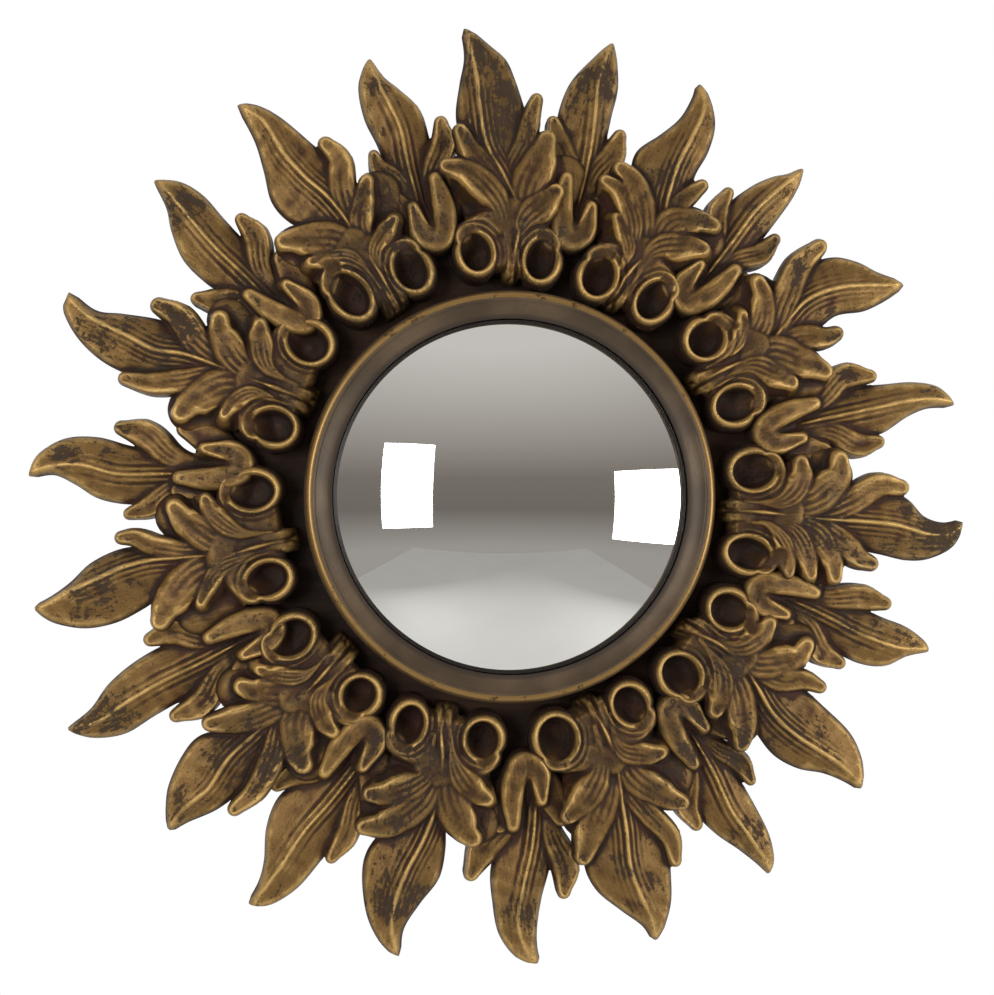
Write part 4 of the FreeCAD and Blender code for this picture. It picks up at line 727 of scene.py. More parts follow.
def smooth_line(points: Sequence[Point], steps: int = 10) -> np.ndarray:
    """Smooth line through given points.

    Args:
        points: The points, in order.
        steps: Samples between two of them.

    Returns:
        Array of (across, out) rows.
    """
    fixed = np.array(points, float)
    padded = np.vstack([2 * fixed[0] - fixed[1], fixed, 2 * fixed[-1] - fixed[-2]])
    share = np.linspace(0, 1, steps, endpoint=False)[:, None]
    spans = []
    for index in range(len(fixed) - 1):
        before, start, end, after = padded[index:index + 4]
        spans.append(0.5 * (2 * start + (end - before) * share
                            + (2 * before - 5 * start + 4 * end - after) * share**2
                            + (3 * start - before - 3 * end + after) * share**3))
    spans.append(fixed[-1:])
    return np.vstack(spans)


def evenly(values: Sequence[float], share: np.ndarray) -> np.ndarray:
    """Values at evenly spaced stations, read at a share of the way along."""
    return np.interp(share, np.linspace(0, 1, len(values)), values)


def rising(values: np.ndarray, start: float, length: float) -> np.ndarray:
    """0 up to the start, 1 from a length beyond it; a negative length runs the other way."""
    return np.clip((values - start) / length, 0, 1)


def bell(values: np.ndarray, place: float, width: float) -> np.ndarray:
    """1 at a place, fading to 0 over a width on both sides."""
    return np.exp(-((values - place) / width)**2)


def dome(share: np.ndarray) -> np.ndarray:
    """Drop of a round section: 0 on its crown, 1 at its side."""
    return 1 - np.sqrt(np.clip(1 - share**2, 0, 1))


@dataclass
class Trace:
    """A bent line measured from every place of a relief."""
    share: np.ndarray
    side: np.ndarray
    distance: np.ndarray


class Relief:
    """Height field of one carving on a square grid."""
    FALL = 2.2

    def __init__(self, low: Point, high: Point, step: float, floor: float) -> None:
        """Start an empty field.

        Args:
            low: Lowest (across, out) corner.
            high: Highest corner.
            step: Grid spacing.
            floor: Height of the flat back.
        """
        self.step = step
        self.floor = floor
        self.across, self.out = np.meshgrid(np.arange(low[0], high[0] + step, step),
                                            np.arange(low[1], high[1] + step, step))
        self.reach = np.full(self.across.shape, -60.0)
        self.edge = np.full(self.across.shape, floor)
        self.height = np.full(self.across.shape, floor)

    def trace(self, line: np.ndarray) -> Trace:
        """Measure a bent line from every place.

        Args:
            line: Rows of (across, out).

        Returns:
            Share along the line, signed side distance and plain distance.
        """
        lengths = np.concatenate([[0], np.cumsum(np.linalg.norm(np.diff(line, axis=0), axis=1))])
        best = np.full(self.across.shape, 1e9)
        share = np.zeros(self.across.shape)
        side = np.zeros(self.across.shape)
        for start, end, done in zip(line[:-1], line[1:], lengths[:-1]):
            way = end - start
            length = max(float(np.hypot(*way)), 1e-9)
            across = self.across - start[0]
            out = self.out - start[1]
            along = np.clip((across * way[0] + out * way[1]) / length, 0, length)
            distance = np.hypot(across - way[0] * along / length, out - way[1] * along / length)
            nearer = distance < best
            best = np.where(nearer, distance, best)
            share = np.where(nearer, (done + along) / lengths[-1], share)
            side = np.where(nearer, (way[0] * out - way[1] * across) / length, side)
        return Trace(share, np.sign(side) * best, best)

    def add(self, reach: np.ndarray, height: np.ndarray, edge: np.ndarray) -> None:
        """Join a form to the carving.

        Args:
            reach: Distance inside its outline, negative outside.
            height: Its surface.
            edge: The height of its outline.
        """
        self.edge = np.where(reach > self.reach, edge, self.edge)
        self.reach = np.maximum(self.reach, reach)
        self.height = np.maximum(self.height, height + np.minimum(reach, 0) * self.FALL)

    def sink(self, depth: np.ndarray) -> None:
        """Cut into what is there already, never below the floor."""
        self.height = np.maximum(self.height - depth, self.floor + 0.8)
        self.edge = np.maximum(self.edge - depth, self.floor + 0.8)

    def softened(self, values: np.ndarray, radius: float) -> np.ndarray:
        """Values blurred over a radius in millimetres.

        Args:
            values: One value for each place of the grid.
            radius: Radius of the blur.

        Returns:
            The blurred values, on the same grid.
        """
        reach = max(int(3 * radius / self.step), 1)
        weights = np.exp(-0.5 * (np.arange(-reach, reach + 1) * self.step / radius)**2)
        weights /= weights.sum()
        padded = np.pad(values, reach, mode="edge")
        rows = sum(weight * padded[:, i:i + values.shape[1]] for i, weight in enumerate(weights))
        return sum(weight * rows[i:i + values.shape[0]] for i, weight in enumerate(weights))


class CarvedSurface:
    """Marching-squares mesh of a relief, with its outline as a smooth loop.

    A vertex row holds across, out and height, and then what the gilding goes by: cavity and crisp (how far it
    stands above its surroundings, blurred wide and blurred fine), rise above the back, and margin (distance
    from the outline).
    """
    CAVITY_BLUR = 2.6
    CAVITY_SPAN = 5.0
    CRISP_BLUR = 0.9
    CRISP_SPAN = 1.4
    RISE_SPAN = 24.0
    MARGIN_SPAN = 5.0
    SIDE_CAVITY = 0.35

    def __init__(self, relief: Relief) -> None:
        """Mesh a relief.

        Args:
            relief: The height field.
        """
        inside = relief.reach > 0
        body = relief.height
        whole = np.where(inside, body, relief.edge)
        cavity = (body - relief.softened(whole, self.CAVITY_BLUR)) / self.CAVITY_SPAN + 0.5
        crisp = (body - relief.softened(whole, self.CRISP_BLUR)) / self.CRISP_SPAN + 0.5
        rise = (body - relief.floor) / self.RISE_SPAN
        margin = relief.reach / self.MARGIN_SPAN
        fields = np.stack([relief.across, relief.out, body, cavity, crisp, rise, margin], axis=-1)
        rim = np.stack([relief.across, relief.out, relief.edge, cavity, crisp, rise, margin * 0], axis=-1)
        self.corner = np.where(inside, np.cumsum(inside).reshape(inside.shape) - 1, -1)
        rows = [fields[inside]]
        count = int(inside.sum())
        self.level = self.crossings(relief, rim, rows, count, 1)
        count += int((self.level >= 0).sum())
        self.upright = self.crossings(relief, rim, rows, count, 0)
        front = np.vstack(rows)
        self.faces: list[tuple[int, ...]] = []
        self.outline: dict[int, int] = {}
        self.tile(inside)
        loops = self.loops()
        self.values = self.close(front, loops, relief.floor)

    @staticmethod
    def crossings(relief: Relief, rim: np.ndarray, rows: list[np.ndarray], count: int,
                  axis: int) -> np.ndarray:
        """Points where the outline crosses the grid along one axis.

        Args:
            relief: The height field.
            rim: Values of the outline at every grid point.
            rows: Vertex rows, to which the new ones are added.
            count: Vertices so far.
            axis: 1 for level grid lines, 0 for upright ones.

        Returns:
            Vertex number of every grid edge, -1 where the outline doesn't cross it.
        """
        first = (slice(None), slice(None, -1)) if axis else (slice(None, -1), slice(None))
        second = (slice(None), slice(1, None)) if axis else (slice(1, None), slice(None))
        one, two = relief.reach[first], relief.reach[second]
        crossed = (one > 0) != (two > 0)
        share = (one[crossed] / (one[crossed] - two[crossed]))[:, None]
        rows.append(rim[first][crossed] * (1 - share) + rim[second][crossed] * share)
        return np.where(crossed, count + np.cumsum(crossed).reshape(crossed.shape) - 1, -1)

    def tile(self, inside: np.ndarray) -> None:
        """Faces of the front, whole squares first and then the ones that the outline cuts.

        Args:
            inside: Whether each grid point is inside the outline.
        """
        corner, level, upright = self.corner, self.level, self.upright
        filled = inside[:-1, :-1].astype(int) + inside[:-1, 1:] + inside[1:, 1:] + inside[1:, :-1]
        whole = filled == 4
        squares = np.stack([corner[:-1, :-1][whole], corner[:-1, 1:][whole],
                            corner[1:, 1:][whole], corner[1:, :-1][whole]], axis=-1)
        self.faces.extend(map(tuple, squares.tolist()))
        for j, i in np.argwhere((filled > 0) & (filled < 4)).tolist():
            ring = [corner[j, i], level[j, i], corner[j, i + 1], upright[j, i + 1],
                    corner[j + 1, i + 1], level[j + 1, i], corner[j + 1, i], upright[j, i]]
            face = [int(vertex) for vertex in ring if vertex >= 0]
            cut = [place % 2 for place, vertex in enumerate(ring) if vertex >= 0]
            self.faces.append(tuple(face))
            for place, vertex in enumerate(face):
                after = (place + 1) % len(face)
                if cut[place] and cut[after]:
                    self.outline[vertex] = face[after]

    def loops(self) -> list[list[int]]:
        """Outline edges joined into closed loops.

        Returns:
            Vertex numbers of each loop, in order.
        """
        left = dict(self.outline)
        found = []
        while left:
            start, vertex = left.popitem()
            loop = [start]
            while vertex != start and vertex in left:
                loop.append(vertex)
                vertex = left.pop(vertex)
            found.append(loop)
        return found

    def close(self, front: np.ndarray, loops: list[list[int]], floor: float) -> np.ndarray:
        """Sides and back.

        Args:
            front: Vertex rows of the front.
            loops: The outline.
            floor: Height of the back.

        Returns:
            Vertex rows of the whole surface.
        """
        rows = [front]
        count = len(front)
        sheets = []
        for loop in loops:
            lower = front[loop].copy()
            # The sides and back get a low cavity and no crisp, rise or margin, so the gilding darkens them
            # with painted shade and the grey edge colour.
            lower[:, 2] = floor
            lower[:, 3] = self.SIDE_CAVITY
            lower[:, 4:] = 0
            rows.append(lower)
            below = list(range(count, count + len(loop)))
            count += len(loop)
            for index, vertex in enumerate(loop):
                after = (index + 1) % len(loop)
                self.faces.append((loop[after], vertex, below[index], below[after]))
            sheets.append((below, lower))
        values = np.vstack(rows)
        flat = [[Vector((row[0], row[1], 0)) for row in lower] for _, lower in sheets]
        numbers = [vertex for below, _ in sheets for vertex in below]
        if len(sheets) == 1:
            self.faces.append(tuple(reversed(numbers)))
        else:
            for triangle in tessellate_polygon(flat):
                self.faces.append(tuple(numbers[index] for index in triangle))
        return values


def new_piece(name: str, points: np.ndarray, faces: list[tuple[int, ...]]) -> bpy.types.Object:
    """Object from points in metres.

    Args:
        name: The piece's name.
        points: Vertex rows.
        faces: Faces as vertex numbers.

    Returns:
        The object, linked to the scene.
    """
    mesh = bpy.data.meshes.new(name)
    mesh.from_pydata(points.tolist(), [], faces)
    mesh.validate()
    piece = bpy.data.objects.new(name, mesh)
    bpy.context.scene.collection.objects.link(piece)
    return piece


def select_only(piece: bpy.types.Object) -> None:
    """Make one object the only selected and the active one.

    Args:
        piece: The object to select.
    """
    bpy.ops.object.select_all(action="DESELECT")
    piece.select_set(True)
    bpy.context.view_layer.objects.active = piece


def write_attribute(piece: bpy.types.Object, name: str, values: np.ndarray) -> None:
    """Keep one number per vertex on a piece."""
    layer = piece.data.attributes.new(name, "FLOAT", "POINT")
    layer.data.foreach_set("value", np.asarray(values, np.float32))


def settle(piece: bpy.types.Object, material: bpy.types.Material, nodes: Sequence[str]) -> None:
    """Give a finished piece its material and its body, and hide the nodes that it stands for.

    Args:
        piece: The finished piece, at the origin.
        material: Its finish.
        nodes: CAD nodes that it replaces.
    """
    piece.data.materials.append(material)
    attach(piece, ROOT_BODY)
    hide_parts(*nodes)
    LOG.info("%s: %d faces", piece.name, len(piece.data.polygons))


@dataclass
class CarvedLeaf:
    """One leaf of the sunburst."""
    name: str
    plan: Leaf
    tier: Tier
    petal_drop: float = 8.0
    lobe_drop: float = 5.0
    lobe_blur: float = 1.2
    round_over: float = 3.4
    round_drop: float = 4.5
    lip_top: float = 35.0
    lip_band: float = 1.6
    lip_end: float = 1.3
    bulge: float = 3.2
    open_drop: float = 8.0
    eye_floor: float = 18.5
    eye_rise: float = 8.0
    scribed_at: tuple[float, ...] = (2.6, 5.6)
    curl_top: float = 29.5
    hand_wobble: float = 0.07
    last_blur: float = 0.36

    @property
    def sizes(self) -> TierSizes:
        """Heights of this leaf's tier."""
        return TIER_SIZES[self.tier]

    def flame(self, relief: Relief) -> None:
        """The main blade: two dished slopes that meet in the midrib, with veins beside it.

        Args:
            relief: The leaf's relief, which is changed in place.
        """
        sizes = self.sizes
        left = smooth_line(self.plan.left)
        right = smooth_line(self.plan.right)
        tip = (left[-1] + right[-1]) / 2
        left = np.vstack([left[:-3], tip - (TIP_HALF_WIDTH, 0)])
        right = np.vstack([right[:-3], tip + (TIP_HALF_WIDTH, 0)])
        rib = smooth_line([tuple((left[0] + right[0]) / 2), *self.plan.rib, tuple(tip)])
        out = relief.out
        edges = [np.interp(out, np.maximum.accumulate(line[:, 1]), line[:, 0]) for line in (left, right, rib)]
        slopes = [np.sqrt(1 + np.gradient(edge, relief.step, axis=0)**2) for edge in edges]
        low, high, middle = edges
        start = max(sizes.foot, left[0][1])
        reach = np.minimum((relief.across - low) / slopes[0], (high - relief.across) / slopes[1])
        reach = np.minimum(reach, np.minimum(out - start, tip[1] - out))
        along = rising(out, STEM_FOOT, tip[1] - STEM_FOOT)
        offset = relief.across - middle
        half = np.where(offset < 0, middle - low, high - middle)
        share = np.clip(1 - np.abs(offset) / np.maximum(half, 0.5), 0, 1)
        edge = evenly(sizes.edges, along)
        crest = evenly(sizes.crests, along)
        fullness = sizes.sharpness * np.clip((out - 118) / 60, 0.4, 1)
        surface = edge + (crest - edge) * share**fullness
        rounding = self.round_drop * dome(1 - np.clip(reach / self.round_over, 0, 1))
        surface -= rounding + self.veins(np.abs(offset) / slopes[2], rising(out, 246, -60))
        relief.add(reach, surface, edge - self.round_drop)

    def veins(self, beside: np.ndarray, fading: np.ndarray) -> np.ndarray:
        """Depth of the grooves that run beside the midrib.

        Args:
            beside: Distance from the midrib.
            fading: Strength, from 1 at the foot to 0 near the tip.

        Returns:
            The depth in millimetres.
        """
        if self.tier is Tier.BACK:
            return fading * 1.2 * (0.5 - 0.5 * np.cos(beside * 2 * math.pi / 3.3)) * (beside < 6.6)
        return fading * sum(depth * bell(beside, place, 0.8) for place, depth in FRONT_VEINS)

    def finger(self, relief: Relief, line: Sequence[Point], form: Lobe) -> None:
        """A lobe along a bent line: a narrow reed at its root, widening to a smooth round-topped end.

        Args:
            relief: The carving.
            line: Its middle line from root to tip.
            form: Its widths, heights and edge.
        """
        trace = relief.trace(smooth_line(line, 8))
        share = trace.share
        width = form.half_width * evenly(form.widths, share)
        soft_width = np.maximum(relief.softened(width, self.lobe_blur), 0.5)
        reach = relief.softened(width - trace.distance, self.lobe_blur)
        ratio = np.clip(1 - reach / soft_width, 0, 1)
        top = relief.softened(evenly(form.tops, share), self.lobe_blur)
        drop = np.minimum(form.drop, width * 1.1)
        outer = rising(share, 0.55, 0.2)
        sideways = np.clip(trace.side / soft_width, -1, 1) * rising(share, 1, -0.12)
        raised = np.clip(0.55 + sideways * np.sign(form.tilt), 0, 1)
        lines = sum(bell(sideways, place, 0.09) for place in (-0.38, 0.0, 0.38))
        lines = lines * rising(share, 0.35, 0.15) * rising(share, 0.84, -0.25)
        edge = bell(reach, 1.5, 0.7) * raised - bell(ratio, 0, 0.55)
        surface = top - drop * ratio**5 + form.lip * outer * edge
        surface += form.tilt * sideways * outer - form.scribed * lines
        relief.add(reach, surface, top - drop)

    def stem_at(self, out: float) -> float:
        """Where the stem stands across the leaf, at a distance from the mirror's middle."""
        rib = smooth_line([self.plan.rib[0], *self.plan.rib])
        return float(np.interp(out, rib[:, 1], rib[:, 0]))

    def side_of_stem(self, volute: Volute) -> int:
        """1 where a volute stands on the right of the stem, -1 on its left."""
        return 1 if volute.centre[0] > self.plan.rib[0][0] else -1

    def lobe_line(self, petal: Petal, order: int, cap: float) -> list[Point]:
        """Middle line of a petal, from the foot of the stem, along the stem and out into the petal.

        Args:
            petal: The petal.
            order: How many petals of its side leave the stem nearer the tip.
            cap: How far its round end reaches past the line.

        Returns:
            The line's points.
        """
        offset = (2.4 + 1.7 * min(order, 2)) * petal.turn
        leaving = max(petal.foot[1] - 22, 128)
        way = np.subtract(petal.tip, petal.middle)
        tip = np.subtract(petal.tip, way * cap / max(float(np.hypot(*way)), 1))
        beside_stem = [(self.stem_at(place) + offset, place) for place in (120.0, leaving)]
        return [*beside_stem[0 if leaving > 132 else 1:], petal.foot, petal.middle, tuple(tip)]

    def webs(self, relief: Relief) -> None:
        """The low body that joins a front leaf's petals.

        Args:
            relief: The leaf's relief, which is changed in place.
        """
        shift = self.plan.rib[1][0] - 2
        top = RING_FACE + WEBS[0].rise
        for web in WEBS:
            line = [(across + shift, out) for across, out in (web.foot, web.middle, web.tip)]
            self.finger(relief, line, Lobe(web.half_width, (0.8, 1.0, 0.9), (top, top), 4.0))

    def petals(self, relief: Relief) -> None:
        """Petals of a front leaf, the farthest from the mirror first.

        Args:
            relief: The leaf's relief, which is changed in place.
        """
        counts = {1: 0, -1: 0}
        for petal in sorted(self.plan.petals, key=lambda one: -one.foot[1]):
            crest = RING_FACE + petal.rise
            tops = (*STEM_TOPS, crest, crest + 1, crest + 1.5, crest + 1, crest, crest - 2)
            form = Lobe(petal.half_width, PETAL_WIDTHS, tops, self.petal_drop, 1.1, -2.6 * petal.turn, 0.8)
            line = self.lobe_line(petal, counts[petal.turn], petal.half_width * 0.5 - 2)
            self.finger(relief, line, form)
            counts[petal.turn] += 1

    def side_lobes(self, relief: Relief) -> None:
        """Side lobes of a back leaf, each with one edge raised and lines along it.

        Args:
            relief: The leaf's relief, which is changed in place.
        """
        for petal in self.plan.petals:
            crest = RING_FACE + petal.rise + 4
            line = [(petal.foot[0] * 0.5, petal.foot[1] - 24), petal.foot, petal.middle, petal.tip]
            tops = (crest - 4, crest - 1, crest, crest - 1)
            self.finger(relief, line, Lobe(petal.half_width, SIDE_LOBE_WIDTHS, tops, self.lobe_drop, 1.6,
                                           -1.6 * petal.turn, 0.7))

    def scroll(self, relief: Relief, volute: Volute) -> None:
        """Rolled eye: a crisp lip round a deep hollow, bulging away from the stem and open towards the tip.

        Args:
            relief: The carving.
            volute: The eye.
        """
        across = relief.across - volute.centre[0]
        out = relief.out - volute.centre[1]
        outwards = self.side_of_stem(volute)
        lean = math.radians(volute.lean)
        side = across * math.cos(lean) - out * math.sin(lean)
        up = across * math.sin(lean) + out * math.cos(lean)
        ratio = np.hypot(side / volute.half_across, up / volute.half_out)
        away = (ratio - 1) * (volute.half_across + volute.half_out) / 2
        spread = np.maximum(np.hypot(side, up), 0.1)

        def facing(sideways: float, upwards: float) -> np.ndarray:
            """How far each place lies in one direction from the eye, from -1 to 1."""
            return (side * outwards * sideways + up * upwards) / spread

        bulging = 0.5 + 0.5 * facing(0.75, -0.66)
        open_end = np.clip(facing(0.3, 0.95), 0, 1)**2.5
        free_end = bell(facing(0.95, 0.31), 0.93, 0.16)
        lip = self.lip_top - self.open_drop * open_end
        band = self.lip_band + self.bulge * bulging * (1 - open_end) + self.lip_end * free_end
        roll = lip - (1.3 - 0.85 * bulging) * np.maximum(away - 0.7, 0)**2
        relief.add(band - away, np.maximum(roll, self.lip_top - 8), lip - 6)
        scribed = sum(bell(away, place, 0.75) for place in self.scribed_at)
        relief.height = relief.height - scribed * np.clip(1.15 - 1.6 * bulging, 0, 1)
        slope = np.clip((side * outwards * 0.5 + up * 0.86) / volute.half_across, 0, 1)
        eye = np.maximum(self.eye_floor + self.eye_rise * slope**1.5, lip + away * 5.0)
        relief.height = np.where(away < 0, np.minimum(relief.height, eye), relief.height)
        slot = lip + 0.6 * np.maximum(away, 0) + 26 * np.clip(0.66 - open_end, 0, 1)**1.5
        near = rising(away, 13, -6) * (away >= 0)
        relief.height = relief.height - np.maximum(relief.height - slot, 0) * near

    def taper_foot(self, relief: Relief) -> None:
        """Run the stem out to a low, narrow foot beside the rim.

        Args:
            relief: The leaf's relief, which is changed in place.
        """
        short = rising(relief.out, 125, -11)
        relief.sink(11 * short**1.4)
        relief.reach = relief.reach - 2.5 * short

    def volutes(self, relief: Relief) -> None:
        """Volutes, set in the broad body that ties them to the stem.

        Args:
            relief: The leaf's relief, which is changed in place.
        """
        full = Lobe(0, (1.0, 1.0), (32.5, 32.5), 5.0)
        for volute in self.plan.volutes:
            across, out = volute.centre
            outwards = self.side_of_stem(volute)
            stem = self.stem_at(out) + outwards * 2
            body = replace(full, half_width=volute.half_out + 0.5)
            self.finger(relief, [(stem, out + 1), (across - outwards * 5, out)], body)
            arm = [(stem, out + 22), (across * 0.55, out + 15), (across + outwards * 3, out + 9)]
            self.finger(relief, arm, replace(full, half_width=9.5, tops=(33.5, 33.5, 31.5), lip=0.8))
        self.taper_foot(relief)
        for volute in self.plan.volutes:
            self.scroll(relief, volute)

    def curl(self, relief: Relief) -> None:
        """Arched roll at the foot of a back leaf, over a slit and between two low shoulders.

        Args:
            relief: The leaf's relief, which is changed in place.
        """
        across = self.plan.curl_across
        for side in (-1, 1):
            shoulder = [(across + side * 3, 150), (across + side * 12, 163), (across + side * 17, 178)]
            self.finger(relief, shoulder, Lobe(9, (0.7, 1.0, 1.0, 0.6), (21, 21, 19), 4.0, 0.8))
        top = self.curl_top
        hand = 1 if int(self.plan.clock) % 2 else -1
        arch = [(across - hand * 10, 178), (across - hand * 9, 160), (across - hand * 3, 145),
                (across + hand * 6, 149), (across + hand * 7, 166)]
        tops = (top - 5, top - 1, top + 1, top, top - 3)
        self.finger(relief, arch, Lobe(6.5, CURL_WIDTHS, tops, 9, 1.3))

    def tool_marks(self, relief: Relief) -> None:
        """Slow hand-made unevenness, the same for a leaf on every run.

        Args:
            relief: The leaf's relief, which is changed in place.
        """
        random = np.random.default_rng(int(self.plan.clock * 10) + 3)
        uneven = np.zeros(relief.across.shape)
        for _ in range(14):
            turn, phase = random.uniform(0, 2 * math.pi, 2)
            pace = 2 * math.pi / random.uniform(7, 20)
            uneven += np.sin(pace * (relief.across * math.cos(turn) + relief.out * math.sin(turn)) + phase)
        relief.height = relief.height + uneven * self.hand_wobble

    def build(self, material: bpy.types.Material) -> bpy.types.Object:
        """Carve the leaf and put it in its place.

        Args:
            material: The gilding.

        Returns:
            The piece.
        """
        front = self.tier is Tier.FRONT
        sizes = self.sizes
        relief = Relief(sizes.low, sizes.high, sizes.step, sizes.back)
        self.flame(relief)
        if front:
            self.webs(relief)
            self.petals(relief)
            self.volutes(relief)
        else:
            self.side_lobes(relief)
            self.curl(relief)
        self.tool_marks(relief)
        relief.height = relief.softened(relief.height, self.last_blur)
        surface = CarvedSurface(relief)
        across, out, height, cavity, crisp, rise, margin = surface.values.T
        turn = math.radians(self.plan.clock)
        points = np.stack([out * math.sin(turn) + across * math.cos(turn), -height,
                           out * math.cos(turn) - across * math.sin(turn)], axis=-1) * MM
        piece = new_piece(f"carved_{self.name}", points, surface.faces)
        marks = {"relief": cavity, "crisp": crisp, "rise": rise, "margin": margin,
                 "outward": (out - 120) / 110}
        for mark, values in marks.items():
            write_attribute(piece, mark, np.clip(values, 0, 1))
        grain = piece.data.attributes.new("grain", "FLOAT_VECTOR", "POINT")
        along_leaf = np.stack([across + self.plan.clock * 3, out, height], axis=-1) * MM
        grain.data.foreach_set("vector", along_leaf.astype(np.float32).ravel())
        select_only(piece)
        bpy.ops.object.shade_smooth_by_angle(angle=math.radians(55))
        settle(piece, material, [self.name])
        return piece


# ------------------------------------------------------------------------------
# Turned pieces
# ------------------------------------------------------------------------------

def arc(start: Point, end: Point, radius: float, centre_left: bool, steps: int) -> list[Point]:
    """Points along an arc between two (radius, height) corners, without the first.

    Args:
        start: First corner.
        end: Last corner.
        radius: The arc's radius.
        centre_left: Whether its centre is on the left of the way along, heights counted upwards.
        steps: Number of points.

    Returns:
        The points.
    """
    first = np.array(start, float)
    last = np.array(end, float)
    way = last - first
    half = float(np.hypot(*way)) / 2
    left = np.array([-way[1], way[0]]) / (2 * half)
    centre = (first + last) / 2 + left * math.sqrt(radius**2 - half**2) * (1 if centre_left else -1)
    begin, finish = (math.atan2(*(point - centre)[::-1]) for point in (first, last))
    turn = (finish - begin + math.pi) % (2 * math.pi) - math.pi
    return [tuple(centre + radius * np.array([math.cos(begin + turn * i / steps),
                                              math.sin(begin + turn * i / steps)]))
            for i in range(1, steps + 1)]


def subdivided(start: Point, end: Point, steps: int) -> list[Point]:
    """Points on a straight line, without the first."""
    return [(start[0] + (end[0] - start[0]) * i / steps, start[1] + (end[1] - start[1]) * i / steps)
            for i in range(1, steps + 1)]


def spun(name: str, section: Sequence[Point], steps: int) -> bpy.types.Object:
    """Turn a half section of (radius, height) points, in millimetres, round the Y axis.

    Args:
        name: The piece's name.
        section: The half section.
        steps: Segments of the full turn.

    Returns:
        The turned piece.
    """
    mesh = bpy.data.meshes.new(name)
    points = [(radius * MM, -height * MM, 0) for radius, height in section]
    mesh.from_pydata(points, [(i, i + 1) for i in range(len(points) - 1)], [])
    piece = bpy.data.objects.new(name, mesh)
    bpy.context.scene.collection.objects.link(piece)
    select_only(piece)
    bpy.ops.object.mode_set(mode="EDIT")
    bpy.ops.mesh.select_all(action="SELECT")
    bpy.ops.mesh.spin(steps=steps, angle=2 * math.pi, center=(0, 0, 0), axis=(0, 1, 0))
    bpy.ops.mesh.select_all(action="SELECT")
    bpy.ops.mesh.remove_doubles(threshold=1e-6)
    bpy.ops.mesh.normals_make_consistent(inside=False)
    bpy.ops.object.mode_set(mode="OBJECT")
    bpy.ops.object.shade_smooth_by_angle(angle=math.radians(32))
    return piece


def section_values(piece: bpy.types.Object) -> tuple[np.ndarray, np.ndarray]:
    """Radius and height of every vertex of a turned piece, in millimetres.

    Args:
        piece: A piece turned about the axis that points out of the wall.

    Returns:
        Distances from that axis, and heights from the wall plane.
    """
    flat = np.empty(len(piece.data.vertices) * 3)
    piece.data.vertices.foreach_get("co", flat)
    places = flat.reshape(-1, 3) / MM
    return np.hypot(places[:, 0], places[:, 2]), -places[:, 1]


@dataclass
class RimMoulding:
    """Turned rim: plain side, round shoulder, gilt bead, and a cove down to the glass."""
    rebate: float = 100.5
    outside: float = 110.5
    seat: float = 14.0
    side_top: float = 36.0
    bead_foot: float = 42.6
    bead_outer: float = 108.9
    bead_inner: float = 104.1
    sight: float = 95.5
    lip_back: float = 36.1
    lip_front: float = 38.5
    shoulder_radius: float = 12.0
    bead_radius: float = 2.6
    cove_radius: float = 17.0
    steps: int = 288

    def build(self, material: bpy.types.Material) -> bpy.types.Object:
        """Turn the rim and mark its bead and the dark gap at the glass.

        Args:
            material: The rim's finish.

        Returns:
            The finished rim.
        """
        corners = [(self.rebate, self.lip_back), (self.rebate, self.seat), (self.outside, self.seat),
                   (self.outside, self.side_top), (self.bead_outer, self.bead_foot),
                   (self.bead_inner, self.bead_foot), (self.sight, self.lip_front),
                   (self.sight, self.lip_back)]
        section = [corners[0], *subdivided(corners[0], corners[1], 2), *subdivided(corners[1], corners[2], 2),
                   *subdivided(corners[2], corners[3], 8),
                   *arc(corners[3], corners[4], self.shoulder_radius, True, 8),
                   *arc(corners[4], corners[5], self.bead_radius, True, 14),
                   *arc(corners[5], corners[6], self.cove_radius, False, 18),
                   *subdivided(corners[6], corners[7], 2), *subdivided(corners[7], corners[0], 3)]
        piece = spun("turned_rim", section, self.steps)
        radius, height = section_values(piece)
        on_bead = np.clip(1.5 - np.abs(radius - 107.4) / 1.5, 0, 1) * (height > 41)
        side = rising(radius, 107.5, 2) * rising(height, 30, 10) * 0.4
        write_attribute(piece, "bead", np.maximum(on_bead, side))
        write_attribute(piece, "gap", rising(height, 39.4, -1.2) * (radius < 98))
        settle(piece, material, ["rim_moulding"])
        return piece


@dataclass
class ConvexGlass:
    """Bulged silvered pane, smooth enough for a clean reflection."""
    radius: float = 100.0
    thickness: float = 3.0
    seat: float = 30.0
    rise: float = 27.0
    steps: int = 256

    def build(self, material: bpy.types.Material) -> bpy.types.Object:
        """Turn the pane and mark the distance from its edge.

        Args:
            material: The pane's finish.

        Returns:
            The finished pane.
        """
        bow = (self.radius**2 + self.rise**2) / (2 * self.rise)
        front_middle = (0.0, self.seat + self.rise + self.thickness)
        front_edge = (self.radius, self.seat + self.thickness)
        back_edge = (self.radius, self.seat)
        back_middle = (0.0, self.seat + self.rise)
        section = [front_middle, *arc(front_middle, front_edge, bow, False, 48),
                   *subdivided(front_edge, back_edge, 2), *arc(back_edge, back_middle, bow, True, 24)]
        piece = spun("silvered_pane", section, self.steps)
        radius, _ = section_values(piece)
        write_attribute(piece, "edge", radius / self.radius)
        settle(piece, material, ["mirror_glass"])
        return piece


@dataclass
class Sunburst:
    """The two tiers of leaves."""
    front: list[Leaf] = field(default_factory=lambda: FRONT_LEAVES)
    back: list[Leaf] = field(default_factory=lambda: BACK_LEAVES)

    def build(self, material: bpy.types.Material) -> None:
        """Carve every leaf.

        Args:
            material: The carving's finish.
        """
        for tier, plans in ((Tier.FRONT, self.front), (Tier.BACK, self.back)):
            for number, plan in enumerate(plans, start=1):
                CarvedLeaf(f"{tier.value}_leaf_{number:02d}", plan, tier).build(material)


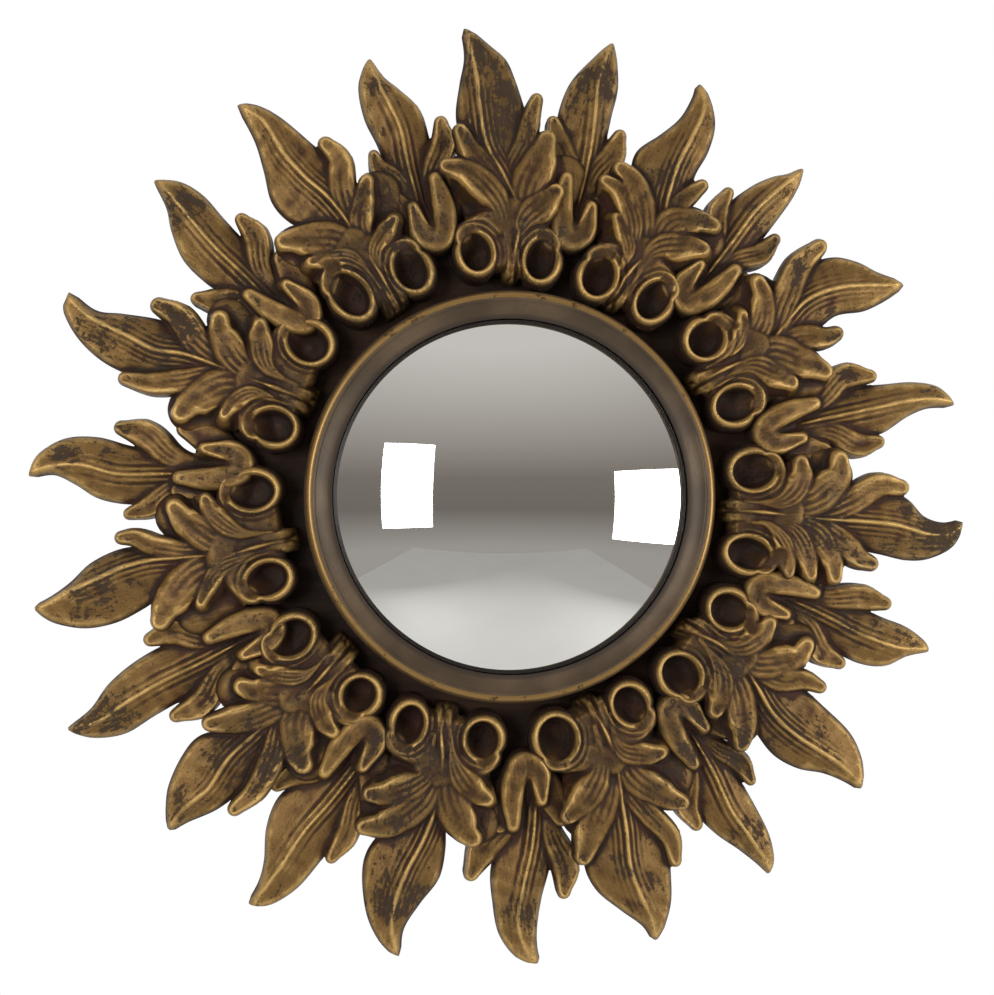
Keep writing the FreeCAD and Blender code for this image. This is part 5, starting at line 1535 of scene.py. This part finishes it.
@dataclass
class Backwork:
    """Joinery and hardware behind the leaves: the frame's own solids, with their finishes."""
    ring: Timber = Timber("dark_stained_ring", (0.012, 0.007, 0.005, 1), (0.042, 0.021, 0.012, 1), 0.8, 0.2)
    board: Timber = Timber("backing_board_wood", (0.17, 0.105, 0.06, 1), (0.34, 0.225, 0.13, 1))
    brass: Brass = Brass()

    def build(self) -> None:
        """Dress the nodes."""
        ring = self.ring.material()
        board = self.board.material()
        brass = self.brass.material()
        finishes = {"backing_ring": ring, "glass_spacer_ring": board, "backing_board": board,
                    "hanger_strap": brass, "hanger_ring": brass, "hanger_screws": brass,
                    "turn_button_screws": brass}
        finishes.update({f"turn_button_{number}": brass for number in range(1, 5)})
        for node, finish in finishes.items():
            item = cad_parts[node]
            item.data.materials.clear()
            item.data.materials.append(finish)
            LOG.info("%s: %s", node, finish.name)


# ------------------------------------------------------------------------------
# Studio
# ------------------------------------------------------------------------------

@dataclass(frozen=True)
class Softbox:
    """Square lamp that looks at the mirror: its place, size and power."""
    name: str
    place: Place
    width: float
    height: float
    power: float

    def build(self) -> None:
        """Hang the lamp."""
        lamp = bpy.data.lights.new(self.name, "AREA")
        lamp.shape = "RECTANGLE"
        lamp.size = self.width
        lamp.size_y = self.height
        lamp.energy = self.power
        item = bpy.data.objects.new(self.name, lamp)
        item.location = self.place
        item.rotation_euler = (-Vector(self.place)).to_track_quat("-Z", "Y").to_euler()
        item.visible_camera = False
        bpy.context.scene.collection.objects.link(item)


@dataclass
class Studio:
    """Plain pale studio, its lamps and the camera that stands where the photograph was taken.

    Shiny things see the graded room in front of the mirror and the white wall behind it; all else is lit by a
    plain graded light, and the camera sees white behind the object.
    """
    camera_place: Place = (-0.065, -0.800, -0.014)
    camera_aim: Place = (-0.007, -0.026, -0.0004)
    lens: float = 51.74
    floor_drop: float = 0.85
    floor_size: float = 3.0
    floor_forward: float = 1.0
    room: tuple[Stop, ...] = (
        (0.36, (0.36, 0.335, 0.31, 1)), (0.47, (0.175, 0.155, 0.135, 1)), (0.56, (0.20, 0.175, 0.155, 1)),
        (0.66, (0.33, 0.30, 0.27, 1)), (0.90, (0.62, 0.59, 0.555, 1)))
    wall: tuple[Stop, ...] = ((0.52, (0, 0, 0, 1)), (0.62, WHITE))
    light: tuple[Stop, ...] = (
        (0.40, (0.40, 0.39, 0.37, 1)), (0.55, (0.27, 0.255, 0.24, 1)), (0.85, (0.60, 0.585, 0.56, 1)))
    lamps: tuple[Softbox, ...] = (
        Softbox("softbox_left", (-0.78, -1.20, 0.11), 0.46, 0.72, 9.0),
        Softbox("softbox_right", (1.15, -0.85, -0.05), 0.66, 0.56, 9.0),
    )

    def camera(self) -> None:
        """Camera at the photograph's place."""
        data = bpy.data.cameras.new("photo_camera")
        data.lens = self.lens
        data.sensor_width = 36.0
        item = bpy.data.objects.new("photo_camera", data)
        item.location = self.camera_place
        aim = Vector(self.camera_aim) - Vector(self.camera_place)
        item.rotation_euler = aim.to_track_quat("-Z", "Y").to_euler()
        bpy.context.scene.collection.objects.link(item)
        bpy.context.scene.camera = item

    def floor(self) -> None:
        """Pale floor below the mirror."""
        bpy.ops.object.select_all(action="DESELECT")
        bpy.ops.mesh.primitive_plane_add(size=self.floor_size,
                                         location=(0, -self.floor_forward, -self.floor_drop))
        plane = bpy.context.object
        plane.name = "studio_floor"
        recipe = Recipe("pale_floor")
        cloud = recipe.noise(3, 3)
        plane.data.materials.append(recipe.finish({
            "Base Color": recipe.blend((0.70, 0.69, 0.67, 1), (0.78, 0.77, 0.75, 1), cloud),
            "Roughness": 0.6,
        }))

    def world(self) -> None:
        """White behind the object, and a soft grey room for its light and reflections."""
        world = bpy.data.worlds.new("studio")
        bpy.context.scene.world = world
        world.use_nodes = True
        world.node_tree.nodes.clear()
        nodes = Nodes(world.node_tree)
        output = nodes.node("ShaderNodeOutputWorld")
        path = nodes.node("ShaderNodeLightPath").outputs
        place = nodes.node("ShaderNodeTexCoord").outputs["Generated"]
        split = nodes.node("ShaderNodeSeparateXYZ", None, {0: place}).outputs

        def graded(source: bpy.types.NodeSocket, stops: Sequence[Stop]) -> bpy.types.NodeSocket:
            """Colours graded along one direction, from -1 to 1.

            Args:
                source: The direction's own coordinate.
                stops: Places and colours of the ramp.

            Returns:
                The graded colour.
            """
            lift = nodes.node("ShaderNodeMapRange", None, {"Value": source, "From Min": -1.0})
            ramp = nodes.node("ShaderNodeValToRGB", None, {0: lift.outputs[0]})
            while len(ramp.color_ramp.elements) < len(stops):
                ramp.color_ramp.elements.new(0.5)
            for element, (position, colour) in zip(ramp.color_ramp.elements, stops):
                element.position = position
                element.color = colour
            return ramp.outputs[0]

        def background(colour: Any) -> bpy.types.NodeSocket:
            """Background of strength 1."""
            return nodes.node("ShaderNodeBackground", None, {0: colour}).outputs[0]

        def chosen(share: Any, first: Any, second: Any) -> bpy.types.NodeSocket:
            """The first shader at share 0, the second at share 1."""
            return nodes.node("ShaderNodeMixShader", None, {0: share, 1: first, 2: second}).outputs[0]

        room = graded(split[2], self.room)
        behind = graded(split[1], self.wall)
        shiny = nodes.node("ShaderNodeMath", {"operation": "MAXIMUM"},
                           {0: path["Is Glossy Ray"], 1: path["Is Transmission Ray"]}).outputs[0]
        light = background(graded(split[2], self.light))
        inner = chosen(shiny, light, background(nodes.blend(room, WHITE, behind)))
        nodes.feed(output.inputs[0], chosen(path["Is Camera Ray"], inner, background(WHITE)))

    def build(self) -> None:
        """Set up the studio."""
        self.camera()
        self.floor()
        self.world()
        for lamp in self.lamps:
            lamp.build()
        bpy.context.scene.view_settings.view_transform = "Standard"


def main() -> None:
    """Build the mirror piece by piece, then the studio round it."""
    logging.basicConfig(level=logging.INFO, format="%(name)s: %(message)s", force=True)
    Backwork().build()
    ConvexGlass().build(SilveredGlass().material())
    RimMoulding().build(MouldingGilding().material())
    Sunburst().build(CarvedGilding().material())
    Studio().build()


if __name__ == "__main__":
    main()
